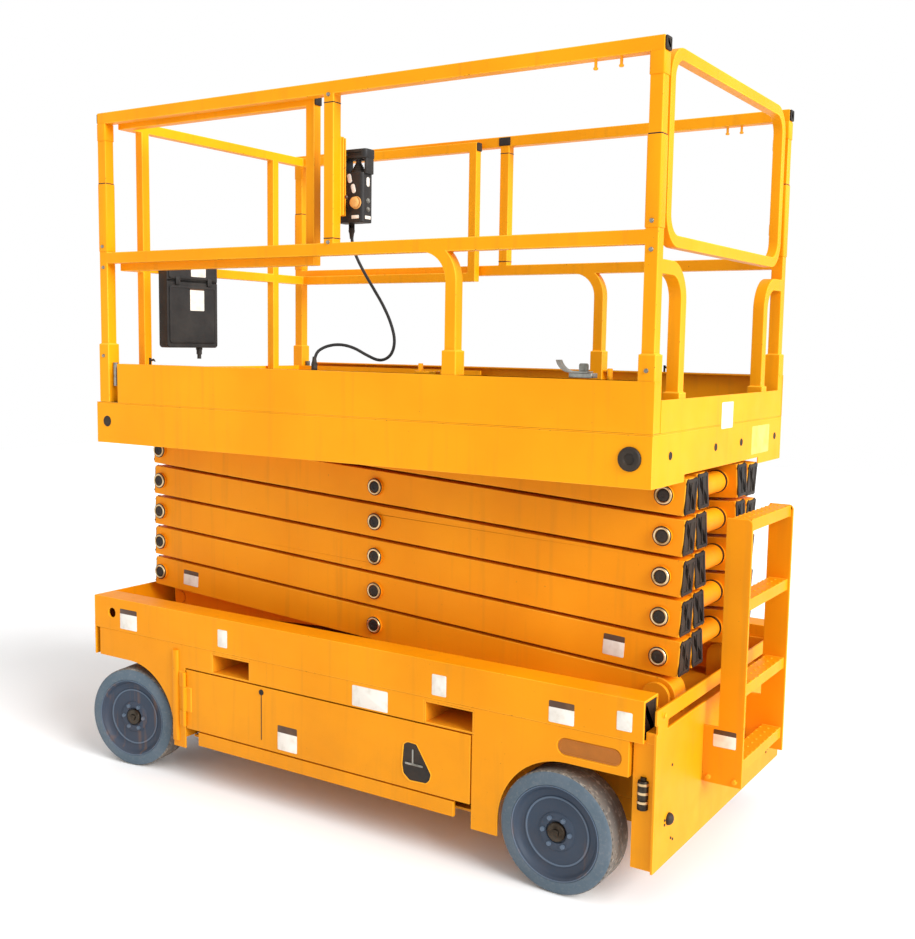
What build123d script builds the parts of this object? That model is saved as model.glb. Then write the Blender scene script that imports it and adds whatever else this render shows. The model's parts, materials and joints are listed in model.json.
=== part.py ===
from build123d import *
import math
import os

# Electric scissor lift, parked with its stack folded and its front wheels turned a little.
# Millimetres. +X points to the ladder end, -X to the steered end, +Y to the far side, +Z up.
# The origin is on the floor, under the middle of the machine.

os.makedirs("parts", exist_ok=True)

# ---------------------------------------------------------------- driving dimensions
# overall
DECK_HALF_WIDTH = 585.0      # outer face of the deck's side panels
RUN_GAP = 0.3                # between pieces that seat on each other

# wheels and axles
WHEELBASE = 1860.0
REAR_AXLE_X = 817.0
TYRE_R = 190.0
TYRE_WIDTH = 130.0
TYRE_OUT_Y = DECK_HALF_WIDTH + 15.0   # outer face of a straight tyre
TYRE_TAPER = 8.0             # how far the sidewall leans in from the rim to the tread
RIM_R = 148.0
RIM_WALL = 9.0
DISC_THICK = 14.0
DISC_DEPTH = 24.0            # how far the disc sits behind the tyre's outer face
HUB_R = 46.0
HUB_LENGTH = 62.0
SPINDLE_R = 20.0
SPINDLE_GAP = 0.4
HUB_CAP_R = 30.0
HUB_CAP_THICK = 10.0
AXLE_WIDTH = 96.0
AXLE_HEIGHT = 60.0
KINGPIN_Y = TYRE_OUT_Y - 160.0
KINGPIN_R = 18.0
STEER_AT_REST = 9.0          # degrees the front wheels stand turned when parked

# chassis
RAIL_LEFT_X = -1218.0
RAIL_RIGHT_X = 1090.0
RAIL_TOP_Z = 645.0
RAIL_HEIGHT = 125.0
RAIL_WIDTH = 100.0
RAIL_OUT_Y = DECK_HALF_WIDTH + 5.0
RAIL_WALL = 8.0
TIE_HOLE_R = 19.0            # lashing hole near the steered end of each rail
TIE_HOLE_X = RAIL_LEFT_X + 93.0
TIE_HOLE_Z = RAIL_TOP_Z - 58.0
SKIRT_THICK = 6.0
ARCH_R = 232.0               # wheel arch cut in the skirts
ARCH_TOP_Z = 412.0
FRONT_ARCH_X = -795.0        # upright edge of the front arch
REAR_ARCH_X = 614.0          # upright edge of the rear arch
SKIRT_BOTTOM_Z = 127.0
DOOR_LEFT_X = -728.0
DOOR_RIGHT_X = 512.0
DOOR_THICK = 28.0
DOOR_GAP = 6.0
DOOR_BOTTOM_Z = 205.0
GUARD_BOTTOM_Z = 150.0
GUARD_TOP_Z = 199.0
GUARD_END_IN = 60.0
FENDER_END_X = 1046.0
FENDER_DEPTH = 97.5
POCKET_XS = (-505.0, 430.0)  # middles of the two fork pockets
POCKET_WIDTH = 188.0
POCKET_HEIGHT = 77.0
POCKET_TOP_Z = 511.0
POCKET_WALL = 6.0
TUB_HALF = 318.0             # box spine under the pan
TUB_FLOOR_Z = 160.0
TUB_PLATE = 8.0
TUB_LEFT_X = -735.0
TRAY_RIGHT_X = 520.0
PAN_LEFT_X = -1205.0         # pan between the rails, which holds the stack's feet
PAN_Z = POCKET_TOP_Z - TUB_PLATE
PAN_LIP_Z = 600.0
BACK_PLATE_X = 1120.0        # inner face of the plate behind the ladder
BACK_PLATE_THICK = 8.0
BACK_PLATE_BOTTOM_Z = 140.0
BACK_PLATE_TOP_Z = 552.0
END_BAR_ZS = (578.0, 622.0)    # bar across the ladder end, above the back plate

# ladder
LADDER_HALF = 210.0
LADDER_REACH = 126.15        # from the back plate to the stiles' outer edges
LADDER_DEPTH = 80.0
STILE_THICK = 10.0
LADDER_TOP_Z = 1132.0
LADDER_BOTTOM_Z = 300.0
GUSSET_TOP_Z = 480.0
RUNG_ZS = (360.0, 600.0, 866.0, 1112.0)
RUNG_HEIGHT = 36.0
LADDER_CORNER_R = 16.0
RUNG_INSET = 9.0

# scissor stack
LEVELS = 6
PIN_RIGHT_X = 1019.0         # fixed pins, one above the other
BASE_PIN_Z = 583.0
PIN_SPAN = 2149.0            # left pin to right pin of a stowed arm
PIN_PITCH = 123.5            # height of one stowed level
ARM_HEIGHT = 112.0
ARM_WIDTH = 90.0
ARM_WALL = 7.0
ARM_GAP = 10.0               # between an outer and an inner arm
STACK_HALF = 325.0           # outer face of the outer arms
END_LONG = 64.0              # arm past its right pin
END_SHORT = 35.0             # arm past its left pin
OPEN_END_DEPTH = 150.0       # how far the tubes are seen to be hollow
PIN_R = 25.0
PIN_GAP = 0.3
PIN_CAP_R = 31.0
PIN_CAP_THICK = 9.0
SHAFT_R = 36.0               # tube between the two inner arms
ROLLER_R = 36.0
ROLLER_WIDTH = 42.0
TRACK_WALL = 7.0
TRACK_PLAY = 1.0
TRACK_END_X = 10.0

# lift cylinders
LIFT_LEVELS = (1, 4)         # the inner arms that carry the two barrels
BARREL_SHARE = 0.95          # place of the barrel's pin along its arm, from the left
EYE_SHARE = 0.12             # place of the rod's eye along the arm two levels up
BARREL_R = 50.0
ROD_R = 32.0
LIFT_PIN_R = 20.0
EYE_R = 42.0
EYE_HALF = 52.0
BARREL_FREE = 130.0          # from the rod's eye to the barrel's gland when folded
BRACKET_THICK = 14.0

# deck
DECK_LEFT_X = -1193.0
DECK_RIGHT_X = 1085.0
DECK_BOTTOM_Z = 1246.0
DECK_BAND_TOP_Z = 1391.0
FLOOR_TOP_Z = 1400.0
FLOOR_THICK = 4.0
TOE_TOP_Z = 1546.0
TOE_LEFT_X = -1077.0
TOE_LIP = 42.0
END_TOE_TOP_Z = 1493.0
PANEL_THICK = 5.0

# guard rails
TUBE = 40.0                  # side of the square rail tube
TOP_RAIL_Z = 2450.0
MID_RAIL_Z = 1940.0
RAIL_Y = DECK_HALF_WIDTH - 27.0       # middle of the side rails
POST_XS = (-1150.0, -69.0, 1058.0)
HOOP_XS = (407.0, 365.0)     # hoop posts, near and far
HOOP_BEND_R = 110.0
SLEEVE = 52.0
SLEEVE_TOP_Z = 1620.0
END_HOOP_Y = RAIL_Y - 183.0
END_HOOP_TOP_Z = 1862.0
END_BEND_R = 90.0

# entry gate
GATE_X = 1058.0
GATE_HALF = RAIL_Y - 58.0
GATE_TUBE = 34.0
GATE_TOP_Z = 2448.0
GATE_BOTTOM_Z = 1937.0
GATE_BEND_R = 75.0
GATE_HINGE_X = 1036.0
GATE_HINGE_Y = RAIL_Y - 31.0

# sliding deck extension
EXT_HALF = DECK_HALF_WIDTH - 59.0
EXT_RAIL_Y = EXT_HALF - 18.0
EXT_FRONT_X = -1100.0
EXT_REAR_X = -190.0
EXT_TOP_Z = 2432.0
EXT_MID_Z = 1912.0
EXT_POST_YS = (-425.0, 310.0)
EXT_FLOOR_Z = 1411.0         # underside of the extension's floor
EXT_FLOOR_THICK = 8.0
EXT_TOE_TOP_Z = 1530.0
EXT_TUBE = 36.0

# fittings on the deck
CASE_SIZE = (48.0, 272.0, 345.0)      # document case: depth, width, height
CASE_Y = -235.0
CASE_BOTTOM_Z = 1608.0
BOX_SIZE = (112.0, 56.0, 160.0)       # control box body
BOX_X = -38.0
BOX_Y = -(RAIL_Y - 76.5)
BOX_BOTTOM_Z = 2030.0

# worked-out sizes
AXLE_Z = TYRE_R
FRONT_AXLE_X = REAR_AXLE_X - WHEELBASE
TYRE_MID_Y = TYRE_OUT_Y - TYRE_WIDTH / 2
PIN_LEFT_X = PIN_RIGHT_X - PIN_SPAN
PIN_MID_X = PIN_RIGHT_X - PIN_SPAN / 2
ARM_LENGTH = math.hypot(PIN_SPAN, PIN_PITCH)
ARM_ANGLE = math.degrees(math.atan2(PIN_PITCH, PIN_SPAN))
OUTER_Y = STACK_HALF - ARM_WIDTH / 2
INNER_Y = OUTER_Y - ARM_WIDTH - ARM_GAP
INNER_FACE_Y = INNER_Y - ARM_WIDTH / 2
RAIL_BOTTOM_Z = RAIL_TOP_Z - RAIL_HEIGHT
RAIL_IN_Y = RAIL_OUT_Y - RAIL_WIDTH
SKIRT_OUT_Y = RAIL_OUT_Y - 2.0
LADDER_OUT_X = BACK_PLATE_X + BACK_PLATE_THICK + LADDER_REACH
BOX_TOP_Z = BOX_BOTTOM_Z + BOX_SIZE[2]


def save(part, label):
    """Names a finished piece and writes it."""
    part.label = label
    export_step(part, f"parts/{label}.step")


def pin_height(level):
    """Height of the pins on top of a stowed level; level 0 is on the chassis."""
    return BASE_PIN_Z + level * PIN_PITCH


def arm_plane(level, y, rises):
    """Plane along an arm, its origin at the middle pin, x to the right end, y across the arm."""
    slope = math.radians(ARM_ANGLE) * (1 if rises else -1)
    middle = (PIN_MID_X, y, pin_height(level) - PIN_PITCH / 2)
    return Plane(origin=middle, x_dir=(math.cos(slope), 0, math.sin(slope)), z_dir=(0, -1, 0))


def point_on_arm(level, share, rises):
    """Point on an arm's middle line, at a share of its length from the left pin."""
    low = pin_height(level - 1)
    height = share if rises else 1 - share
    return (PIN_LEFT_X + share * PIN_SPAN, low + height * PIN_PITCH)


def side_plane(y):
    """Plane seen from the near side: x to the right, y up, its normal towards -Y."""
    return Plane(origin=(0, y, 0), x_dir=(1, 0, 0), z_dir=(0, -1, 0))


def end_plane(x):
    """Plane seen from the ladder end: x towards +Y, y up, its normal towards +X."""
    return Plane(origin=(x, 0, 0), x_dir=(0, 1, 0), z_dir=(1, 0, 0))


# ---------------------------------------------------------------- wheels
def turned(x, y, corner):
    """Plane at a wheel's middle whose normal is the wheel's axis, pointing to +Y."""
    angle = math.radians(STEER_AT_REST) if corner.startswith("front") else 0.0
    axis = (-math.sin(angle), math.cos(angle), 0)
    return Plane(origin=(x, y, AXLE_Z), x_dir=(math.cos(angle), math.sin(angle), 0), z_dir=axis)


def wheel_middle(corner):
    """Middle of a tyre; a front one swings with its kingpin."""
    side = -1 if corner.endswith("near") else 1
    if corner.startswith("rear"):
        return REAR_AXLE_X, side * TYRE_MID_Y
    arm = TYRE_MID_Y - KINGPIN_Y
    angle = math.radians(STEER_AT_REST)
    return FRONT_AXLE_X - side * arm * math.sin(angle), side * (KINGPIN_Y + arm * math.cos(angle))


CORNERS = ("front_near", "front_far", "rear_near", "rear_far")

for corner in CORNERS:
    outward = -1 if corner.endswith("near") else 1
    wheel_plane = turned(*wheel_middle(corner), corner)
    tyre_half = TYRE_WIDTH / 2
    # radius runs along the profile's x, width along its y
    profile_plane = Plane(origin=wheel_plane.origin, x_dir=wheel_plane.x_dir, z_dir=-wheel_plane.y_dir)
    spin_axis = Axis(wheel_plane.origin, wheel_plane.z_dir)

    with BuildPart() as tyre:
        with BuildSketch(profile_plane):
            with BuildLine():
                Polyline(
                    (RIM_R, -tyre_half),
                    (TYRE_R, -tyre_half + TYRE_TAPER),
                    (TYRE_R, tyre_half - TYRE_TAPER),
                    (RIM_R, tyre_half),
                    close=True,
                )
            make_face()
        revolve(axis=spin_axis)
    save(tyre.part, f"tyre_{corner}")

    face = outward * tyre_half
    disc_out = face - outward * DISC_DEPTH
    disc_in = disc_out - outward * DISC_THICK
    hub_in = disc_out - outward * HUB_LENGTH
    bore = SPINDLE_R + SPINDLE_GAP
    with BuildPart() as rim:
        with BuildSketch(profile_plane):
            with BuildLine():
                Polyline(
                    (RIM_R - RUN_GAP, face),
                    (RIM_R - RUN_GAP, -face),
                    (RIM_R - RIM_WALL, -face),
                    (RIM_R - 2 * RIM_WALL, disc_in),
                    (HUB_R, disc_in),
                    (HUB_R, hub_in),
                    (bore, hub_in),
                    (bore, disc_out),
                    (RIM_R - 3 * RIM_WALL, disc_out),
                    (RIM_R - RIM_WALL, face),
                    close=True,
                )
            make_face()
        revolve(axis=spin_axis)
    save(rim.part, f"rim_{corner}")

SIDES = (-1, 1)

# ---------------------------------------------------------------- rear axle
AXLE_HALF = TYRE_MID_Y + TYRE_WIDTH / 2 - DISC_DEPTH - HUB_LENGTH - SPINDLE_GAP
SPINDLE_END = TYRE_OUT_Y - DISC_DEPTH

with BuildPart() as rear_axle:
    with BuildSketch(side_plane(0)):
        with Locations((REAR_AXLE_X, AXLE_Z)):
            Rectangle(AXLE_WIDTH, AXLE_HEIGHT)
    extrude(amount=TYRE_OUT_Y - TYRE_WIDTH - DOOR_GAP, both=True)
    with BuildSketch(side_plane(0)):
        with Locations((REAR_AXLE_X, AXLE_Z)):
            Circle(HUB_R)
    extrude(amount=AXLE_HALF, both=True)
    with BuildSketch(side_plane(0)):
        with Locations((REAR_AXLE_X, AXLE_Z)):
            Circle(SPINDLE_R)
    extrude(amount=SPINDLE_END, both=True)
    # collars that keep the wheels on their spindles
    for side in SIDES:
        with BuildSketch(side_plane(side * (SPINDLE_END + SPINDLE_GAP))):
            with Locations((REAR_AXLE_X, AXLE_Z)):
                Circle(HUB_CAP_R)
        extrude(amount=-side * HUB_CAP_THICK)
save(rear_axle.part, "rear_axle")

# ---------------------------------------------------------------- front axle and steering
BEAM_WIDTH = 84.0
BEAM_HEIGHT = 70.0
BEAM_MID_Z = AXLE_Z + 20.0
FORK_SPREAD = 62.0
FORK_ZS = (AXLE_Z - FORK_SPREAD, AXLE_Z + FORK_SPREAD)     # middles of the two fork plates
FORK_THICK = 16.0
FORK_REACH = 120.0
KNUCKLE_R = 34.0
KNUCKLE_PLAY = 1.0
STEER_ARM = 120.0
STEER_ARM_HALF = 18.0
STEER_ARM_THICK = 12.0
STEER_ARM_Z = AXLE_Z - 38.0
ROD_PIN_R = 10.0
ROD_PIN_LENGTH = 22.0
ROD_EYE_R = 20.0
ROD_EYE_THICK = 18.0
TIE_ROD_R = 8.0
ROD_SEAT = 4.0               # how far the rod runs into its eyes
PEDESTAL_HALF = 190.0

with BuildPart() as front_axle:
    # beam between the kingpins, with a fork and a kingpin at each end
    with BuildSketch(side_plane(0)):
        with Locations((FRONT_AXLE_X, BEAM_MID_Z)):
            Rectangle(BEAM_WIDTH, BEAM_HEIGHT)
    extrude(amount=KINGPIN_Y - FORK_REACH + FORK_THICK, both=True)
    for side in SIDES:
        for fork_z in FORK_ZS:
            with BuildSketch(Plane.XY.offset(fork_z - FORK_THICK / 2)):
                with Locations((FRONT_AXLE_X, side * (KINGPIN_Y - FORK_REACH / 2))):
                    Rectangle(2 * KNUCKLE_R, FORK_REACH)
                with Locations((FRONT_AXLE_X, side * KINGPIN_Y)):
                    Circle(KNUCKLE_R)
            extrude(amount=FORK_THICK)
        with BuildSketch(Plane.XY.offset(FORK_ZS[0])):
            with Locations((FRONT_AXLE_X, side * (KINGPIN_Y - FORK_REACH + FORK_THICK))):
                Rectangle(2 * KNUCKLE_R, 2 * FORK_THICK)
        extrude(amount=FORK_ZS[1] - FORK_ZS[0])
        with BuildSketch(Plane.XY.offset(FORK_ZS[0] - FORK_THICK)):
            with Locations((FRONT_AXLE_X, side * KINGPIN_Y)):
                Circle(KINGPIN_R)
        extrude(amount=FORK_ZS[1] - FORK_ZS[0] + 2 * FORK_THICK)
    # pedestal up to the pan
    with BuildSketch(Plane.XY.offset(BEAM_MID_Z)):
        with Locations((FRONT_AXLE_X, 0)):
            Rectangle(BEAM_WIDTH, 2 * PEDESTAL_HALF)
    extrude(amount=PAN_Z - RUN_GAP - BEAM_MID_Z)
save(front_axle.part, "front_axle")


def steer_arm_end(side):
    """Where a knuckle's arm holds the tie rod, behind the kingpin."""
    angle = math.radians(STEER_AT_REST)
    return FRONT_AXLE_X + STEER_ARM * math.cos(angle), side * KINGPIN_Y + STEER_ARM * math.sin(angle)


BARREL_HALF = FORK_ZS[1] - AXLE_Z - FORK_THICK / 2 - KNUCKLE_PLAY
STEER_PLANE_X = (math.cos(math.radians(STEER_AT_REST)), math.sin(math.radians(STEER_AT_REST)), 0)

for corner in ("front_near", "front_far"):
    side = -1 if corner.endswith("near") else 1
    axis_plane = turned(*wheel_middle(corner), corner)
    arm_plane_xy = Plane(
        origin=(FRONT_AXLE_X, side * KINGPIN_Y, STEER_ARM_Z), x_dir=STEER_PLANE_X, z_dir=(0, 0, 1)
    )
    with BuildPart() as knuckle:
        # upright barrel, wheel spindle with its cap, and the steering arm with its pin
        with BuildSketch(Plane.XY.offset(AXLE_Z - BARREL_HALF)):
            with Locations((FRONT_AXLE_X, side * KINGPIN_Y)):
                Circle(KNUCKLE_R)
        extrude(amount=2 * BARREL_HALF)
        with BuildSketch(axis_plane):
            Circle(SPINDLE_R)
        extrude(amount=side * (TYRE_WIDTH / 2 - DISC_DEPTH + SPINDLE_GAP))
        with BuildSketch(axis_plane):
            Circle(SPINDLE_R)
        extrude(amount=-side * (TYRE_MID_Y - KINGPIN_Y - KINGPIN_R))
        with BuildSketch(axis_plane.offset(side * (TYRE_WIDTH / 2 - DISC_DEPTH + SPINDLE_GAP))):
            Circle(HUB_CAP_R)
        extrude(amount=side * HUB_CAP_THICK)
        with BuildSketch(arm_plane_xy):
            with Locations((STEER_ARM / 2, 0)):
                SlotCenterToCenter(STEER_ARM, 2 * STEER_ARM_HALF)
        extrude(amount=STEER_ARM_THICK)
        with BuildSketch(arm_plane_xy):
            with Locations((STEER_ARM, 0)):
                Circle(ROD_PIN_R)
        extrude(amount=-ROD_PIN_LENGTH)
        with BuildSketch(Plane.XY.offset(AXLE_Z - BARREL_HALF)):
            with Locations((FRONT_AXLE_X, side * KINGPIN_Y)):
                Circle(KINGPIN_R + PIN_GAP)
        extrude(amount=2 * BARREL_HALF, mode=Mode.SUBTRACT)
    save(knuckle.part, f"knuckle_{corner[6:]}")

near_eye = steer_arm_end(-1)
far_eye = steer_arm_end(1)
rod_z = STEER_ARM_Z - PIN_GAP - ROD_EYE_THICK / 2
with BuildPart() as tie_rod:
    with BuildSketch(Plane(origin=(near_eye[0], near_eye[1] + ROD_EYE_R - ROD_SEAT, rod_z), z_dir=(0, 1, 0))):
        Circle(TIE_ROD_R)
    extrude(amount=far_eye[1] - near_eye[1] - 2 * ROD_EYE_R + 2 * ROD_SEAT)
    with BuildSketch(Plane.XY.offset(rod_z - ROD_EYE_THICK / 2)):
        with Locations(near_eye, far_eye):
            Circle(ROD_EYE_R)
            Circle(ROD_PIN_R + PIN_GAP, mode=Mode.SUBTRACT)
    extrude(amount=ROD_EYE_THICK)
save(tie_rod.part, "tie_rod")

# ---------------------------------------------------------------- chassis
RAIL_MID_Y = RAIL_OUT_Y - RAIL_WIDTH / 2
RAIL_LENGTH = RAIL_RIGHT_X - RAIL_LEFT_X
DOOR_TOP_Z = POCKET_TOP_Z - POCKET_HEIGHT - DOOR_GAP
HANGER_IN_Y = SKIRT_OUT_Y - 44.0       # inner face of the guards' hangers
HANGER_THICK = 9.0
TRAY_HALF = HANGER_IN_Y - SPINDLE_GAP
PAN_HALF = RAIL_IN_Y - RUN_GAP
PAN_RIGHT_X = BACK_PLATE_X - RUN_GAP
SLOT_HALF = POCKET_WIDTH / 2 + RUN_GAP                  # openings that the pockets pass through
SLOT_TOP_Z = POCKET_TOP_Z + RUN_GAP
SLOT_BOTTOM_Z = POCKET_TOP_Z - POCKET_HEIGHT - RUN_GAP
SLOT_LEFT_X, SLOT_RIGHT_X = POCKET_XS
NOTCH_LEFT_X = REAR_AXLE_X - AXLE_WIDTH / 2 - RUN_GAP   # opening that the rear axle passes through
NOTCH_RIGHT_X = REAR_AXLE_X + AXLE_WIDTH / 2 + RUN_GAP
NOTCH_TOP_Z = AXLE_Z + HUB_R + RUN_GAP
SPINE_LOW_Z = TUB_FLOOR_Z + TUB_PLATE + RUN_GAP
PAN_RUNS = (
    (PAN_LEFT_X, SLOT_LEFT_X - SLOT_HALF),
    (SLOT_LEFT_X + SLOT_HALF, SLOT_RIGHT_X - SLOT_HALF),
    (SLOT_RIGHT_X + SLOT_HALF, PAN_RIGHT_X),
)
# left, right, bottom and top of each strip of the spine's side plates
SPINE_STRIPS = (
    (TUB_LEFT_X, NOTCH_LEFT_X, SPINE_LOW_Z, NOTCH_TOP_Z - RUN_GAP),
    (NOTCH_RIGHT_X, PAN_RIGHT_X, SPINE_LOW_Z, NOTCH_TOP_Z - RUN_GAP),
    (TUB_LEFT_X, PAN_RIGHT_X, NOTCH_TOP_Z, SLOT_BOTTOM_Z),
    (TUB_LEFT_X, SLOT_LEFT_X - SLOT_HALF, SLOT_BOTTOM_Z + RUN_GAP, PAN_Z - RUN_GAP),
    (SLOT_LEFT_X + SLOT_HALF, SLOT_RIGHT_X - SLOT_HALF, SLOT_BOTTOM_Z + RUN_GAP, PAN_Z - RUN_GAP),
    (SLOT_RIGHT_X + SLOT_HALF, PAN_RIGHT_X, SLOT_BOTTOM_Z + RUN_GAP, PAN_Z - RUN_GAP),
)
# left, right and half-width of each run of the spine's floor
FLOOR_RUNS = (
    (TUB_LEFT_X, TRAY_RIGHT_X, TRAY_HALF),
    (TRAY_RIGHT_X + RUN_GAP, NOTCH_LEFT_X, TUB_HALF),
    (NOTCH_RIGHT_X, PAN_RIGHT_X, TUB_HALF),
)

with BuildPart() as chassis_rails:
    for side in SIDES:
        with BuildSketch(end_plane(RAIL_LEFT_X)):
            with Locations((side * RAIL_MID_Y, RAIL_TOP_Z - RAIL_HEIGHT / 2)):
                Rectangle(RAIL_WIDTH, RAIL_HEIGHT)
        extrude(amount=RAIL_LENGTH)
    for side in SIDES:
        with BuildSketch(end_plane(RAIL_LEFT_X + RAIL_WALL)):
            with Locations((side * RAIL_MID_Y, RAIL_TOP_Z - RAIL_HEIGHT / 2)):
                Rectangle(RAIL_WIDTH - 2 * RAIL_WALL, RAIL_HEIGHT - 2 * RAIL_WALL)
        extrude(amount=RAIL_LENGTH - RAIL_WALL, mode=Mode.SUBTRACT)
    for side in SIDES:
        with BuildSketch(side_plane(side * RAIL_OUT_Y)):
            with Locations((TIE_HOLE_X, TIE_HOLE_Z)):
                Circle(TIE_HOLE_R)
        extrude(amount=side * RAIL_WALL, mode=Mode.SUBTRACT)
save(chassis_rails.part, "chassis_rails")

with BuildPart() as chassis_pan:
    # plate between the rails, in runs between the fork pockets, and a lip along each rail
    for run_left, run_right in PAN_RUNS:
        with BuildSketch(end_plane(run_left)):
            with Locations((0, PAN_Z + TUB_PLATE / 2)):
                Rectangle(2 * PAN_HALF, TUB_PLATE)
        extrude(amount=run_right - run_left)
    with BuildSketch(end_plane(PAN_LEFT_X)):
        for side in SIDES:
            with Locations((side * (PAN_HALF - TUB_PLATE / 2), (SLOT_TOP_Z + PAN_LIP_Z) / 2)):
                Rectangle(TUB_PLATE, PAN_LIP_Z - SLOT_TOP_Z)
    extrude(amount=PAN_RIGHT_X - PAN_LEFT_X)
    # side plates of the box spine, in strips round the rear axle and the fork pockets
    for strip_left, strip_right, strip_bottom, strip_top in SPINE_STRIPS:
        with BuildSketch(end_plane(strip_left)):
            for side in SIDES:
                with Locations((side * (TUB_HALF - TUB_PLATE / 2), (strip_bottom + strip_top) / 2)):
                    Rectangle(TUB_PLATE, strip_top - strip_bottom)
        extrude(amount=strip_right - strip_left)
    # floor of the spine, wider where it is the tray for the battery and the hydraulics
    for floor_left, floor_right, floor_half in FLOOR_RUNS:
        with BuildSketch(end_plane(floor_left)):
            with Locations((0, TUB_FLOOR_Z + TUB_PLATE / 2)):
                Rectangle(2 * floor_half, TUB_PLATE)
        extrude(amount=floor_right - floor_left)
save(chassis_pan.part, "chassis_pan")

with BuildPart() as fork_pockets:
    # each pocket is four plates: top and bottom, and the sides between them
    for pocket_x in POCKET_XS:
        with BuildSketch(side_plane(0)):
            for plate_z in (POCKET_TOP_Z - POCKET_WALL / 2, POCKET_TOP_Z - POCKET_HEIGHT + POCKET_WALL / 2):
                with Locations((pocket_x, plate_z)):
                    Rectangle(POCKET_WIDTH, POCKET_WALL)
            for side in SIDES:
                with Locations(
                    (pocket_x + side * (POCKET_WIDTH - POCKET_WALL) / 2, POCKET_TOP_Z - POCKET_HEIGHT / 2)
                ):
                    Rectangle(POCKET_WALL, POCKET_HEIGHT - 2 * POCKET_WALL - 2 * RUN_GAP)
        extrude(amount=SKIRT_OUT_Y - RUN_GAP, both=True)
save(fork_pockets.part, "fork_pockets")

SKIRT_TOP_Z = RAIL_BOTTOM_Z - RUN_GAP
FRONT_SKIRT_LEFT_X = RAIL_LEFT_X + 20.0
DOORWAY_TOP_Z = DOOR_TOP_Z + DOOR_GAP - RUN_GAP
BULKHEAD_BOTTOM_Z = TUB_FLOOR_Z + TUB_PLATE + RUN_GAP

HINGE_X = (DOOR_LEFT_X + DOOR_LEFT_X - DOOR_GAP) / 2
HINGE_R = 7.0
HINGE_Y = SKIRT_OUT_Y + HINGE_R
HINGE_PIN_R = 3.5
HINGE_LEAF = 30.0
HINGE_LEAF_THICK = 4.0
HANGER_TOP_Z = 330.0
DOOR_HINGE_ZS = ((215.0, 270.0), (271.0, 362.0), (363.0, 418.0))   # fixed, turning, fixed


def leaf(side, z_range, direction):
    """Hinge leaf from the barrel along the panel, its length towards the given X direction."""
    leaf_y = side * (SKIRT_OUT_Y + HINGE_LEAF_THICK / 2)
    with BuildPart() as piece:
        with BuildSketch(Plane.XY.offset(z_range[0])):
            with Locations((HINGE_X, side * HINGE_Y)):
                Circle(HINGE_R)
            with Locations((HINGE_X + direction * HINGE_LEAF / 2, leaf_y)):
                Rectangle(HINGE_LEAF, HINGE_LEAF_THICK)
        extrude(amount=z_range[1] - z_range[0])
    return piece.part


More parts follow.
